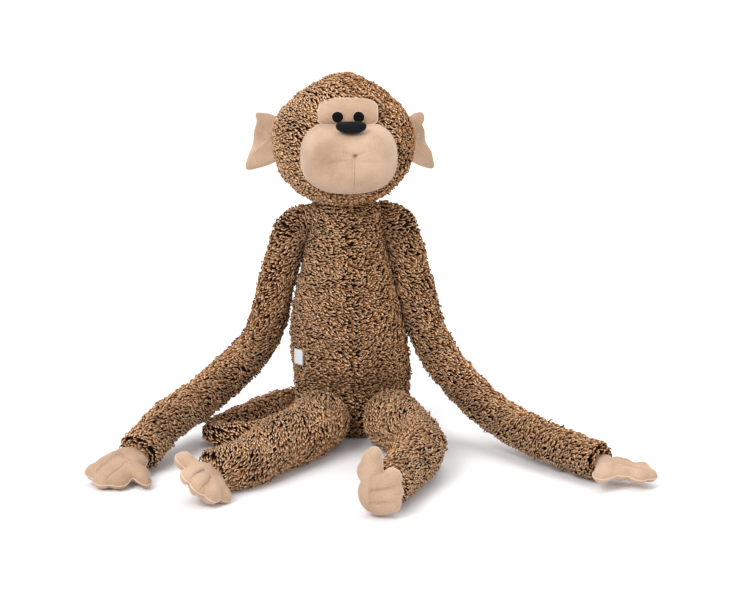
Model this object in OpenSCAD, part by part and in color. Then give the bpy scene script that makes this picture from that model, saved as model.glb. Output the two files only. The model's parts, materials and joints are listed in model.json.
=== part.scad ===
// Long-armed plush monkey, sitting with its limbs spread on the floor.
// Millimetres. +X is the monkey's left, +Y its back, +Z up.
// The origin is in the middle of the flat seat, on the floor.

/* [Torso] */
// Height of the torso from the seat to the neck seam
torso_h = 296; // [290:1:302]
// Width of the torso at the hips, over the middle of the pile
hip_w = 150; // [146:1:152]
// Depth of the torso at the belly, over the middle of the pile
belly_d = 110; // [106:1:112]

/* [Head] */
// Height of the head from the neck gap to the crown
head_h = 162; // [156:1:166]
// Width of the head at the ears
head_w = 180; // [176:1:181]
// Depth of the head from the front to the back, before the face is flattened
head_d = 152; // [146:1:156]
// Distance from the middle of the head to the flat face
face_y = 58; // [54:1:62]

/* [Face] */
// Width of the muzzle
muzzle_w = 119; // [112:1:122]
// Height of the muzzle before its top is cut straight
muzzle_h = 92; // [86:1:92]
// How far the muzzle stands out of the face
muzzle_out = 48; // [40:1:52]
// Diameter of each eye
eye_d = 14; // [11:0.5:14.5]
// Width of the nose
nose_w = 38; // [32:1:42]
// Height of the nose
nose_h = 16; // [12:0.5:16]

/* [Ears] */
// Thickness of an ear over both velour sheets
ear_t = 9; // [7:0.5:10]

/* [Arms] */
// Radius of the arm at the shoulder
arm_r_top = 19.5; // [18:0.5:20]
// Radius of the arm at the two bends
arm_r_mid = 21; // [19:0.5:21.5]
// Radius of the arm at the wrist
arm_r_cuff = 22; // [21:0.5:22]

/* [Legs] */
// Radius of the thigh at the hip
leg_r_top = 36; // [33:0.5:36]
// Radius of the leg at the knee
leg_r_knee = 30.5; // [27:0.5:31]
// Radius of the leg at the ankle
leg_r_cuff = 23.5; // [22:0.5:24]

/* [Hands and feet] */
// Thickness of a hand in the middle of the palm
hand_t = 22; // [20:1:26]
// Thickness of a foot in the middle of the sole
foot_t = 26; // [22:1:28]

/* [Tail] */
// Radius of the tail
tail_r = 14.5; // [13:0.5:15]

/* [Materials] */
// Thickness of the pile fabric, backing and flattened pile together
fur_t = 3; // [2:0.5:4]
// Thickness of the velour
velour_t = 1.6; // [1.2:0.1:2]
// Width of the bag of plastic pellets in the seat
pellet_w = 64; // [56:1:66]
// Height of the bag of plastic pellets
pellet_h = 30; // [20:1:34]
// Width of the folded wash label
label_w = 17; // [14:1:20]
// Length of the folded wash label
label_l = 20; // [16:1:22]

/* [Hidden] */

FUR = [0.49, 0.37, 0.28];
VELOUR = [0.85, 0.71, 0.59];
FIBRE = [0.95, 0.95, 0.93];
BLACK = [0.08, 0.08, 0.09];
LABEL = [0.93, 0.93, 0.93];
PELLET = [0.75, 0.78, 0.82];
THREAD = [0.62, 0.48, 0.38];

// Clearance between two pieces of one body
fit = 0.2;
// Clearance between a ball end and the cup of the next piece of a limb
play = 0.5;
// Extra room that the rim of a cup keeps from the limb it bends against
mitre_play = 1.2;
// Sides of a round section in the sewn shapes
sides = 32;
// Sides of a turned shape
turned_sides = 64;
// Steps along a quarter of a round profile
arc_steps = 6;

// Torso rings: [height, half width, half depth, middle x, middle y]
torso_rings = [
    [0.00, 0.83, 0.60, 2, 4], [0.034, 0.93, 0.73, 2, 4], [0.12, 0.97, 0.76, 1, 5],
    [0.24, 0.99, 0.78, 0, 5], [0.34, 1.00, 0.96, -2, 0], [0.51, 0.96, 1.00, -6, -1],
    [0.61, 0.89, 0.96, -7, -1], [0.745, 0.77, 0.89, -7, 0], [0.83, 0.70, 0.84, -8, 0],
    [0.91, 0.64, 0.78, -8, 0], [0.966, 0.63, 0.75, -8, 0], [1.00, 0.58, 0.70, -8, 0]
];
// Head rings: [height, half width, half depth]
head_rings = [
    [0.00, 0.34, 0.36], [0.055, 0.56, 0.60], [0.15, 0.77, 0.80], [0.23, 0.89, 0.91],
    [0.35, 0.97, 0.98], [0.49, 1.00, 1.00], [0.61, 0.965, 0.98], [0.72, 0.855, 0.88],
    [0.80, 0.71, 0.76], [0.88, 0.54, 0.61], [0.955, 0.26, 0.33], [1.00, 0.06, 0.08]
];

head_x = -10;
neck_x = -9;
neck_gap = 0.4;
neck_r = 36;
neck_rim = 2;
neck_h = 11.5;
// How flat the middle of the neck's rounded top is
neck_round = 1.5;
head_gap = 1.5;
nod_z = torso_h + neck_h;
head_z = nod_z + head_gap;
face_front = -face_y;

// Heights above the bottom of the head
muzzle_rise = 66.7;
eye_rise = 116.5;
ear_rise = 79;
muzzle_at = [-2.5, face_front - fit, head_z + muzzle_rise];
muzzle_power = 2.5;
// Share of the muzzle's half height where its top is cut straight
muzzle_cut = 0.867;
// How square the bulge of a padded piece is, and its height at a share of the way to the rim
dome_power = 3;
function swell(share) = sqrt(1 - pow(share, dome_power));
// The nose rests on the muzzle's upper edge: its share of the way to the rim, its lean and its gap
nose_share = 0.9;
nose_lean = 36;
nose_gap = 2;
nose_reach = nose_h / 2 + nose_gap;
nose_at = [
    1,
    muzzle_at[1] - muzzle_out * swell(nose_share) - nose_reach * cos(nose_lean),
    muzzle_at[2] + nose_share * muzzle_cut * muzzle_h / 2 + nose_reach * sin(nose_lean)
];
eye_z = head_z + eye_rise;
eye_x = [-16, 10];
eye_out = 4;
// Share of an eye's height that its straight rim takes up
eye_rim = 0.25;
brow_low = 0.665;
brow_high = 0.853;
brow_from = -21;
brow_to = 31;
brow_t = 2;
brow_lift = 1;
brow_rows = 4;
brow_columns = 8;
// The mouth thread: its radius, its bend's middle as shares of the muzzle, and the arc it covers
seam_r = 0.8;
seam_middle = [0.17, 0.27];
seam_above = 6;
seam_below = 76;

shoulder_z = torso_h - 18;
arm_right = [[-76.5, -4, shoulder_z], [-117, 20, 115], [-194, -36, 57], [-262, -163, 25]];
arm_left = [[62, 4, shoulder_z], [103, 2, 112], [180, -66, 42], [302, -196, 25]];
arm_bend = 92;
// How far a cuff stops short of the joint, and the radius kept free for the wrist or ankle
cuff_back = 3;
cuff_room = 17.5;
hand_right_fingers = [-0.49, -0.85, -0.2];
hand_right_thumb = [0.84, -0.48, -0.14];
hand_left_fingers = [0.95, -0.28, -0.1];
hand_left_thumb = [-0.28, -0.95, -0.12];

leg_right = [[-40, -71, 37.5], [-88, -154, 33], [-163, -238, 27]];
leg_left = [[52, -66, 37.5], [93, -164, 33], [48, -280, 26]];
leg_bend = 84;
foot_right_toes = [-0.5, -0.85, -0.15];
foot_right_thumb = [-0.77, 0.3, 0.55];
foot_left_toes = [0.94, -0.2, -0.02];
foot_left_thumb = [-0.05, 0.06, 1];
foot_left_heel = [14, -312, 31.5];

tail_lift = 1.5;
tail_z = tail_r + tail_lift;
tail = [[-12, 66, tail_z], [-88, 98, tail_z], [-158, -5, tail_z]];
tail_tip_curve = [[-158, -5], [-205, -75], [-160, -95], [-90, -26]];
tail_bend = 100;
tail_tip_rings = 14;
tail_tip_sides = 12;
// Shares of the curve: where the ball of the piece before ends, and where the tip starts to round off
tail_tip_start = 0.12;
tail_tip_round = 0.86;
// Share of the curve where the inside of the cover and the filling end
tail_inside_end = 0.98;
tail_filling_end = 0.975;
// Least radius of a ring as a share of the tail's, and how far the rings crowd towards the tip
tail_least = 0.063;
tail_crowding = 1.4;
tail_step = 0.01;

// A hand: wrist, palm, three finger tips and a thumb, as [x along the fingers, y to the thumb, radius]
wrist_r = 13;
hand_right_circles = [
    [0, 0, wrist_r], [22, 0, 23], [36, 0, 25], [54, 16, 11], [61, 0, 11], [54, -16, 11], [32, 28, 10], [42, 42, 7]
];
hand_left_circles = [
    [0, 0, wrist_r], [26, 4, 20], [50, 13, 11], [62, 3, 10], [52, -6, 11], [11, 20, 12], [9, 34, 11]
];
hand_middle = [31, 4];
// A foot: ankle, sole, three toes and a big toe to the side
foot_circles = [
    [0, 0, wrist_r], [24, 0, 25], [45, 18, 11], [50, 1, 11], [45, -17, 11], [24, 26, 12], [25, 38, 12]
];
foot_middle = [25, 4];
// A foot whose sole is folded square to the shin
folded_circles = [
    [22, -3, 25], [36, 18, 11], [38, 2, 11], [36, -13, 11], [10, 22, 15], [12, 36, 12], [15, 44, 8.5]
];
folded_middle = [20, 4];
mitt_sides = 36;

// An ear: circles from its upper lobe down to its pointed tip, as [x away from the head, y up, radius]
ear_circles = [
    [9, 21, 8.5], [11, 12, 10], [11, 0, 10], [12.5, -12, 12], [14.5, -22, 12], [21, -32, 7.5], [24, -36, 5]
];
ear_middle = [12, -5];
ear_root_right = [-101, 5, head_z + ear_rise];
ear_root_left = [81, 5, head_z + ear_rise];
ear_sweep_right = 12;
ear_sweep_left = 38;

seat_t = 2.5;
seat_gap = 1;
pellet_z = 26;
label_t = 1.2;
label_gap = 0.5;
label_at = [-68.5, -31.5, 110];
label_turn = -49.5;

function unit(v) = v / norm(v);
function across(u, v) = unit(v - (v * unit(u)) * unit(u));
function bezier(p, t) =
    pow(1 - t, 3) * p[0] + 3 * t * pow(1 - t, 2) * p[1] + 3 * t * t * (1 - t) * p[2] + t * t * t * p[3];
function flatten(lists) = [for (part = lists) for (item = part) item];
function backwards(list) = [for (i = [len(list) - 1 : -1 : 0]) list[i]];

// One ring of an oval section, counted anticlockwise from +X
function oval(x, y, z, half_w, half_d) =
    [for (i = [0 : sides - 1]) [x + half_w * cos(360 * i / sides), y + half_d * sin(360 * i / sides), z]];

// Rings of the torso, drawn in by a wall thickness
function torso_skin(inset, low = 0, high = 0) = [
    for (k = [0 : len(torso_rings) - 1])
        let (r = torso_rings[k])
        let (lift = k == 0 ? low : k == len(torso_rings) - 1 ? -high : 0)
        oval(r[3], r[4], r[0] * torso_h + lift, r[1] * hip_w / 2 - inset, r[2] * belly_d / 2 - inset)
];

// A point of the head's skin, flattened where the face is sewn on
function head_point(share, half_w, half_d, angle, inset) = [
    head_x + max(half_w * head_w / 2 - inset, 1) * cos(angle),
    max(max(half_d * head_d / 2 - inset, 1) * sin(angle), face_front + inset),
    head_z + share * head_h
];
function head_skin(inset, low = 0, high = 0) = [
    for (k = [0 : len(head_rings) - 1])
        let (r = head_rings[k])
        let (lift = k == 0 ? low : k == len(head_rings) - 1 ? -high : 0)
        [for (i = [0 : sides - 1]) head_point(r[0], r[1], r[2], 360 * i / sides, inset) + [0, 0, lift]]
];
function head_share(share, column) = lookup(share, [for (r = head_rings) [r[0], r[column]]]);

// Distance from a middle point to the far side of a group of circles, at an angle
function reach(circles, middle, angle) =
    let (u = [cos(angle), sin(angle)])
    max([for (c = circles)
        let (d = [c[0] - middle[0], c[1] - middle[1]])
        let (along = d * u)
        let (room = c[2] * c[2] - d * d + along * along)
        room < 0 ? 0 : along + sqrt(room)]);
function lobed(circles, middle) = [
    for (i = [0 : mitt_sides - 1])
        let (angle = 360 * i / mitt_sides)
        reach(circles, middle, angle) * [cos(angle), sin(angle)]
];
function rounded_box(half_w, half_h, power) = [
    for (i = [0 : sides - 1])
        let (angle = 360 * i / sides)
        let (c = cos(angle))
        let (s = sin(angle))
        pow(pow(abs(c) / half_w, power) + pow(abs(s) / half_h, power), -1 / power) * [c, s]
];

// Rings of one padded side: from the rim to the crown, drawn in by a wall thickness
dome_shares = [1, 0.9, 0.62, 0.05];
function dome(outline, middle, height, inset, lift = 0) = [
    for (share = dome_shares) [
        for (p = outline)
            let (q = middle + p * ((norm(p) - inset) / norm(p)) * share)
            [q[0], q[1], lift + (height - inset) * swell(share)]
    ]
];

// A closed solid through a list of rings that each have the same number of points
module lofted(rings) {
    n = len(rings[0]);
    last = len(rings) - 1;
    walls = [
        for (k = [0 : last - 1]) for (i = [0 : n - 1])
            let (j = (i + 1) % n)
            each [[k * n + i, (k + 1) * n + i, (k + 1) * n + j], [k * n + i, (k + 1) * n + j, k * n + j]]
    ];
    start = [for (i = [0 : n - 1]) i];
    end = [for (i = [n - 1 : -1 : 0]) last * n + i];
    polyhedron(points = flatten(rings), faces = concat(walls, [start], [end]));
}

// A wall between two lists of rings that match: open at its first ring, and at its last unless it is closed
module shell(outer, inner, closed) {
    n = len(outer[0]);
    last = len(outer) - 1;
    under = n * (last + 1);
    top = last * n;
    walls = [
        for (k = [0 : last - 1]) for (i = [0 : n - 1])
            let (p = k * n + i)
            let (q = k * n + (i + 1) % n)
            each [
                [p, p + n, q + n], [p, q + n, q],
                [under + p, under + q + n, under + p + n], [under + p, under + q, under + q + n]
            ]
    ];
    rim = [
        for (i = [0 : n - 1])
            let (j = (i + 1) % n)
            each [[i, j, under + j], [i, under + j, under + i]]
    ];
    far_rim = [
        for (i = [0 : n - 1])
            let (p = top + i)
            let (q = top + (i + 1) % n)
            each [[q, p, under + p], [q, under + p, under + q]]
    ];
    far_caps = [[for (i = [n - 1 : -1 : 0]) top + i], [for (i = [0 : n - 1]) under + top + i]];
    polyhedron(
        points = flatten(concat(outer, inner)), faces = concat(walls, rim, closed ? far_caps : far_rim)
    );
}

// A closed slab between two grids of points that match
module slab(front, back) {
    n = len(front[0]);
    last = len(front) - 1;
    under = n * (last + 1);
    skins = [
        for (k = [0 : last - 1]) for (i = [0 : n - 2])
            let (p = k * n + i)
            let (q = p + n)
            each [
                [p, q, q + 1], [p, q + 1, p + 1],
                [under + p, under + q + 1, under + q], [under + p, under + p + 1, under + q + 1]
            ]
    ];
    rims = [
        for (i = [0 : n - 2])
            let (t = last * n + i)
            each [
                [i, i + 1, under + i + 1], [i, under + i + 1, under + i],
                [t, under + t + 1, t + 1], [t, under + t, under + t + 1]
            ]
    ];
    ends = [
        for (k = [0 : last - 1])
            let (p = k * n)
            let (e = p + n - 1)
            each [
                [p, under + p, under + p + n], [p, under + p + n, p + n],
                [e, e + n, under + e + n], [e, under + e + n, under + e]
            ]
    ];
    polyhedron(points = flatten(concat(front, back)), faces = concat(skins, rims, ends));
}

// One velour sheet of a padded piece, with its hollow side open
module sheet(outline, middle, height, thickness) {
    outer = dome(outline, middle, height, 0, fit / 2);
    inner = dome(outline, middle, height, thickness, fit / 2);
    shell(outer, inner, true);
}

// The filling between two velour sheets
module filling(outline, middle, height, thickness) {
    upper = dome(outline, middle, height, thickness + fit, fit);
    lower = [for (r = upper) [for (p = r) [p[0], p[1], -p[2]]]];
    lofted(concat(backwards(lower), upper));
}

module filling_half(outline, middle, height, thickness) {
    lofted(dome(outline, middle, height, thickness + fit, fit / 2));
}

// Places a flat piece: its x along u, its y towards v
module facing(point, u, v) {
    a = unit(u);
    b = across(u, v);
    c = cross(a, b);
    multmatrix([
        [a[0], b[0], c[0], point[0]], [a[1], b[1], c[1], point[1]], [a[2], b[2], c[2], point[2]], [0, 0, 0, 1]
    ]) children();
}

// Places a turned piece: its z from one joint towards the next
module along(from, to) {
    d = to - from;
    translate(from) rotate([0, acos(d[2] / norm(d)), atan2(d[1], d[0])]) children();
}

// Height of the slanted rim of a cup at a radius, for a limb that bends by an angle
function rim_z(ball_r, bend, r) = (ball_r + mitre_play - r * cos(bend)) / sin(bend);
function arc(r, z, from, to) =
    [for (i = [0 : arc_steps]) let (a = from + (to - from) * i / arc_steps) [r * sin(a), z + r * cos(a)]];

// Closed wall of a limb piece: open at its near end, round at its far end
module limb_wall(length, ball_r, r0, r1, bend) {
    rotate_extrude($fn = turned_sides) polygon(concat(
        [[r0, rim_z(ball_r, bend, r0)]],
        arc(r1, length, 90, 0),
        arc(r1 - fur_t, length, 0, 90),
        [[r0 - fur_t, rim_z(ball_r, bend, r0 - fur_t)]]
    ));
}

// Wall of a limb piece that is open at both ends and holds a hand or a foot
module cuff_wall(length, ball_r, r0, r1, bend) {
    rotate_extrude($fn = turned_sides) polygon([
        [r0, rim_z(ball_r, bend, r0)], [r1, length - cuff_back], [r1 - fur_t, length - cuff_back],
        [r0 - fur_t, rim_z(ball_r, bend, r0 - fur_t)]
    ]);
}

// Filling of a limb piece: hollowed at its near end for the ball of the piece before
module limb_filling(length, ball_r, r0, r1, bend) {
    thin = fur_t + fit;
    rotate_extrude($fn = turned_sides) polygon(concat(
        arc(ball_r + play, 0, 0, max(90 - bend, 2)),
        [[r0 - thin, rim_z(ball_r, bend, r0 - thin)]],
        arc(r1 - thin, length, 90, 0)
    ));
}

// Filling of the last piece of a limb, hollowed at both ends
module cuff_filling(length, ball_r, r0, r1, bend) {
    thin = fur_t + fit;
    rotate_extrude($fn = turned_sides) polygon(concat(
        arc(ball_r + play, 0, 0, max(90 - bend, 2)),
        [[r0 - thin, rim_z(ball_r, bend, r0 - thin)], [r1 - thin, length - cuff_back]],
        arc(cuff_room, length, 90 + asin(cuff_back / cuff_room), 180)
    ));
}

// First piece of a limb: a ball at each end
module first_wall(length, r0, r1) {
    rotate_extrude($fn = turned_sides) polygon(concat(
        arc(r0, 0, 180, 90), arc(r1, length, 90, 0),
        arc(r1 - fur_t, length, 0, 90), arc(r0 - fur_t, 0, 90, 180)
    ));
}
module first_filling(length, r0, r1) {
    thin = fur_t + fit;
    rotate_extrude($fn = turned_sides) polygon(concat(
        arc(r0 - thin, 0, 180, 90), arc(r1 - thin, length, 90, 0)
    ));
}

// ---- torso ----
module torso_cover() color(FUR)
    shell(torso_skin(0), torso_skin(fur_t), false);

module torso_stuffing() color(FIBRE)
    difference() {
        lofted(torso_skin(fur_t + fit, seat_t + fit, fit));
        translate([0, 0, pellet_z]) pellet_shape(fit);
    }

module seat_panel() color(FUR)
    linear_extrude(height = seat_t)
        polygon([
            for (i = [0 : turned_sides - 1])
                let (a = 360 * i / turned_sides)
                let (r = torso_rings[0])
                let (half_w = r[1] * hip_w / 2 - fur_t - seat_gap)
                let (half_d = r[2] * belly_d / 2 - fur_t - seat_gap)
                [r[3] + half_w * cos(a), r[4] + half_d * sin(a)]
        ]);

module pellet_shape(extra) {
    edge = pellet_h / 2;
    flat = pellet_w / 2 - edge;
    rotate_extrude($fn = turned_sides) polygon(concat(
        [[0, -edge - extra]],
        [for (p = arc(edge + extra, 0, 180, 0)) [flat + p[0], p[1]]],
        [[0, edge + extra]]
    ));
}
module pellet_bag() color(PELLET)
    translate([0, 0, pellet_z]) pellet_shape(0);

module wash_label() color(LABEL)
    translate(label_at) rotate([0, 0, label_turn])
        rotate([90, 0, 0]) difference() {
            translate([-label_w / 2, -label_l / 2, -label_t / 2]) cube([label_w, label_l, label_t]);
            translate([-label_w, -label_l / 2 + label_t / 2, -label_gap / 2])
                cube([2 * label_w, label_l, label_gap]);
        }

// ---- neck ----
// The rounded top of the neck at a radius and a height, from the rim to just short of the middle
function neck_top(r, top) = [
    for (i = [1 : arc_steps - 1])
        let (share = 1 - i / arc_steps)
        [r * share, neck_rim + (top - neck_rim) * (1 - pow(share, neck_round))]
];
neck_top_z = neck_h - fit;
module neck_cover() color(FUR)
    translate([neck_x, 0, torso_h]) rotate_extrude($fn = turned_sides) polygon(concat(
        [[neck_r, neck_gap], [neck_r, neck_rim]],
        neck_top(neck_r, neck_top_z),
        [[0, neck_top_z], [0, neck_top_z - fur_t]],
        backwards(neck_top(neck_r - fur_t, neck_top_z - fur_t)),
        [[neck_r - fur_t, neck_rim], [neck_r - fur_t, neck_gap]]
    ));
module neck_stuffing() color(FIBRE) {
    thin = fur_t + fit;
    translate([neck_x, 0, torso_h]) rotate_extrude($fn = turned_sides) polygon(concat(
        [[0, neck_gap], [neck_r - thin, neck_gap], [neck_r - thin, neck_rim]],
        neck_top(neck_r - thin, neck_top_z - thin),
        [[0, neck_top_z - thin]]
    ));
}

// ---- head ----
module head_cover() color(FUR)
    shell(head_skin(0), head_skin(fur_t, 0, fur_t), true);
module head_stuffing() color(FIBRE)
    lofted(head_skin(fur_t + fit, fit, fur_t + fit));

// A patch that follows the head's skin above the muzzle
function brow_grid(inset) = [
    for (k = [0 : brow_rows])
        let (share = brow_low + (brow_high - brow_low) * k / brow_rows)
        [for (i = [0 : brow_columns])
            let (angle = 270 + brow_from + (brow_to - brow_from) * i / brow_columns)
            head_point(share, head_share(share, 1), head_share(share, 2), angle, inset)]
];
module brow_panel() color(VELOUR)
    slab(brow_grid(-brow_t - brow_lift), brow_grid(-brow_lift));
muzzle_top = muzzle_cut * muzzle_h / 2;
muzzle_outline = [
    for (p = rounded_box(muzzle_w / 2, muzzle_h / 2, muzzle_power)) [p[0], min(p[1], muzzle_top)]
];
module muzzle_place() facing(muzzle_at, [1, 0, 0], [0, 0, 1]) children();
module muzzle_cover() color(VELOUR)
    muzzle_place() sheet(muzzle_outline, [0, 0], muzzle_out, velour_t);
module muzzle_stuffing() color(FIBRE)
    muzzle_place() filling_half(muzzle_outline, [0, 0], muzzle_out, velour_t);

module eye(x) color(BLACK)
    translate([x, face_front - brow_t - brow_lift - fit, eye_z]) rotate([90, 0, 0])
        rotate_extrude($fn = turned_sides) polygon(concat(
            [[0, 0]],
            [for (p = arc(1, 0, 90, 0)) [eye_d / 2 * p[0], eye_out * (eye_rim + (1 - eye_rim) * p[1])]]
        ));
module eye_right() eye(eye_x[0]);
module eye_left() eye(eye_x[1]);

module nose() color(BLACK)
    translate(nose_at) rotate([0, 90, 0]) {
        half = nose_w / 2 - nose_h / 2;
        cylinder(r = nose_h / 2, h = 2 * half, center = true, $fn = turned_sides);
        for (side = [-1, 1]) translate([0, 0, side * half]) sphere(r = nose_h / 2, $fn = turned_sides);
    }

// The thread that draws the muzzle in below the nose: an arc that just clears the muzzle
module mouth_stitch() color(THREAD) {
    middle = [seam_middle[0] * muzzle_h / 2, seam_middle[1] * muzzle_out];
    clear = max([
        for (share = dome_shares)
            share < 1 ? norm([share * muzzle_h / 2, muzzle_out * swell(share)] - middle) : 0
    ]);
    muzzle_place() translate([0, -middle[0], middle[1]])
        rotate([0, -90, 0]) rotate([0, 0, -seam_below])
            rotate_extrude(angle = seam_above + seam_below, $fn = turned_sides)
                translate([clear + seam_r + 2 * fit, 0]) circle(r = seam_r, $fn = turned_sides);
}

// ---- ears ----
module ear_place(root, side, sweep)
    facing(root, [side * cos(sweep), sin(sweep), 0], [0, 0, 1]) children();
module ear_sheet()
    sheet(lobed(ear_circles, ear_middle), ear_middle, ear_t / 2, velour_t);
module ear_right_front() color(VELOUR)
    ear_place(ear_root_right, -1, ear_sweep_right) mirror([0, 0, 1]) ear_sheet();
module ear_right_back() color(VELOUR)
    ear_place(ear_root_right, -1, ear_sweep_right) ear_sheet();
module ear_left_front() color(VELOUR)
    ear_place(ear_root_left, 1, ear_sweep_left) ear_sheet();
module ear_left_back() color(VELOUR)
    ear_place(ear_root_left, 1, ear_sweep_left) mirror([0, 0, 1]) ear_sheet();

// ---- arms ----
module upper_arm_cover(arm) color(FUR)
    along(arm[0], arm[1]) first_wall(norm(arm[1] - arm[0]), arm_r_top, arm_r_mid);
module upper_arm_stuffing(arm) color(FIBRE)
    along(arm[0], arm[1]) first_filling(norm(arm[1] - arm[0]), arm_r_top, arm_r_mid);
module mid_arm_cover(arm) color(FUR)
    along(arm[1], arm[2]) limb_wall(norm(arm[2] - arm[1]), arm_r_mid, arm_r_mid, arm_r_mid, arm_bend);
module mid_arm_stuffing(arm) color(FIBRE)
    along(arm[1], arm[2]) limb_filling(norm(arm[2] - arm[1]), arm_r_mid, arm_r_mid, arm_r_mid, arm_bend);
module forearm_cover(arm) color(FUR)
    along(arm[2], arm[3]) cuff_wall(norm(arm[3] - arm[2]), arm_r_mid, arm_r_mid, arm_r_cuff, arm_bend);
module forearm_stuffing(arm) color(FIBRE)
    along(arm[2], arm[3]) cuff_filling(norm(arm[3] - arm[2]), arm_r_mid, arm_r_mid, arm_r_cuff, arm_bend);

module upper_arm_right_cover() upper_arm_cover(arm_right);
module upper_arm_right_stuffing() upper_arm_stuffing(arm_right);
module mid_arm_right_cover() mid_arm_cover(arm_right);
module mid_arm_right_stuffing() mid_arm_stuffing(arm_right);
module forearm_right_cover() forearm_cover(arm_right);
module forearm_right_stuffing() forearm_stuffing(arm_right);
module upper_arm_left_cover() upper_arm_cover(arm_left);
module upper_arm_left_stuffing() upper_arm_stuffing(arm_left);
module mid_arm_left_cover() mid_arm_cover(arm_left);
module mid_arm_left_stuffing() mid_arm_stuffing(arm_left);
module forearm_left_cover() forearm_cover(arm_left);
module forearm_left_stuffing() forearm_stuffing(arm_left);

// ---- hands ----
hand_right_outline = lobed(hand_right_circles, hand_middle);
hand_left_outline = lobed(hand_left_circles, hand_middle);
module hand_sheet(outline) color(VELOUR) sheet(outline, hand_middle, hand_t / 2, velour_t);
module hand_filling(outline) color(FIBRE) filling(outline, hand_middle, hand_t / 2, velour_t);
module hand_right_place() facing(arm_right[3], hand_right_fingers, hand_right_thumb) children();
module hand_left_place() facing(arm_left[3], hand_left_fingers, hand_left_thumb) children();
module hand_right_top() hand_right_place() hand_sheet(hand_right_outline);
module hand_right_palm() hand_right_place() mirror([0, 0, 1]) hand_sheet(hand_right_outline);
module hand_right_stuffing() hand_right_place() hand_filling(hand_right_outline);
module hand_left_top() hand_left_place() mirror([0, 0, 1]) hand_sheet(hand_left_outline);
module hand_left_palm() hand_left_place() hand_sheet(hand_left_outline);
module hand_left_stuffing() hand_left_place() hand_filling(hand_left_outline);

// ---- legs ----
module thigh_cover(leg) color(FUR)
    along(leg[0], leg[1]) first_wall(norm(leg[1] - leg[0]), leg_r_top, leg_r_knee);
module thigh_stuffing(leg) color(FIBRE)
    along(leg[0], leg[1]) first_filling(norm(leg[1] - leg[0]), leg_r_top, leg_r_knee);
module thigh_right_cover() thigh_cover(leg_right);
module thigh_right_stuffing() thigh_stuffing(leg_right);
module thigh_left_cover() thigh_cover(leg_left);
module thigh_left_stuffing() thigh_stuffing(leg_left);

module shin_right_cover() color(FUR)
    along(leg_right[1], leg_right[2])
        cuff_wall(norm(leg_right[2] - leg_right[1]), leg_r_knee, leg_r_knee, leg_r_cuff, leg_bend);
module shin_right_stuffing() color(FIBRE)
    along(leg_right[1], leg_right[2])
        cuff_filling(norm(leg_right[2] - leg_right[1]), leg_r_knee, leg_r_knee, leg_r_cuff, leg_bend);
module shin_left_cover() color(FUR)
    along(leg_left[1], leg_left[2])
        limb_wall(norm(leg_left[2] - leg_left[1]), leg_r_knee, leg_r_knee, leg_r_cuff, leg_bend);
module shin_left_stuffing() color(FIBRE)
    along(leg_left[1], leg_left[2])
        limb_filling(norm(leg_left[2] - leg_left[1]), leg_r_knee, leg_r_knee, leg_r_cuff, leg_bend);

// ---- feet ----
foot_outline = lobed(foot_circles, foot_middle);
folded_outline = lobed(folded_circles, folded_middle);
module foot_right_place() facing(leg_right[2], foot_right_toes, foot_right_thumb) children();
module foot_left_place() facing(foot_left_heel, foot_left_toes, foot_left_thumb) children();
module foot_right_top() color(VELOUR)
    foot_right_place() mirror([0, 0, 1]) sheet(foot_outline, foot_middle, foot_t / 2, velour_t);
module foot_right_sole() color(VELOUR)
    foot_right_place() sheet(foot_outline, foot_middle, foot_t / 2, velour_t);
module foot_right_stuffing() color(FIBRE)
    foot_right_place() filling(foot_outline, foot_middle, foot_t / 2, velour_t);
module foot_left_top() color(VELOUR)
    foot_left_place() mirror([0, 0, 1]) sheet(folded_outline, folded_middle, foot_t / 2, velour_t);
module foot_left_sole() color(VELOUR)
    foot_left_place() sheet(folded_outline, folded_middle, foot_t / 2, velour_t);
module foot_left_stuffing() color(FIBRE)
    foot_left_place() filling(folded_outline, folded_middle, foot_t / 2, velour_t);

// ---- tail ----
module tail_root_cover() color(FUR)
    along(tail[0], tail[1]) first_wall(norm(tail[1] - tail[0]), tail_r, tail_r);
module tail_root_stuffing() color(FIBRE)
    along(tail[0], tail[1]) first_filling(norm(tail[1] - tail[0]), tail_r, tail_r);
module tail_middle_cover() color(FUR)
    along(tail[1], tail[2]) limb_wall(norm(tail[2] - tail[1]), tail_r, tail_r, tail_r, tail_bend);
module tail_middle_stuffing() color(FIBRE)
    along(tail[1], tail[2]) limb_filling(norm(tail[2] - tail[1]), tail_r, tail_r, tail_r, tail_bend);

function tail_point(t) = let (p = bezier(tail_tip_curve, t)) [p[0], p[1], tail_z];
function tail_heading(t) = unit(tail_point(min(t + tail_step, 1)) - tail_point(max(t - tail_step, 0)));
// Radius along the last stretch: full, then round to the tip
function tail_radius(t) =
    let (past = max(t - tail_tip_round, 0) / (1 - tail_tip_round))
    tail_r * max(sqrt(max(1 - past * past, 0)), tail_least);
function tail_rings(inset, end) = [
    for (k = [0 : tail_tip_rings - 1])
        let (share = 1 - pow(1 - k / (tail_tip_rings - 1), tail_crowding))
        let (t = tail_tip_start + (end - tail_tip_start) * share)
        let (h = tail_heading(t))
        let (r = max(tail_radius(t) - inset, fit))
        [for (i = [0 : tail_tip_sides - 1])
            let (a = 360 * i / tail_tip_sides)
            tail_point(t) + r * cos(a) * [-h[1], h[0], 0] + [0, 0, r * sin(a)]]
];
module tail_tip_cover() color(FUR)
    shell(tail_rings(0, 1), tail_rings(fur_t, tail_inside_end), true);
module tail_tip_stuffing() color(FIBRE)
    lofted(tail_rings(fur_t + fit, tail_filling_end));

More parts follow.
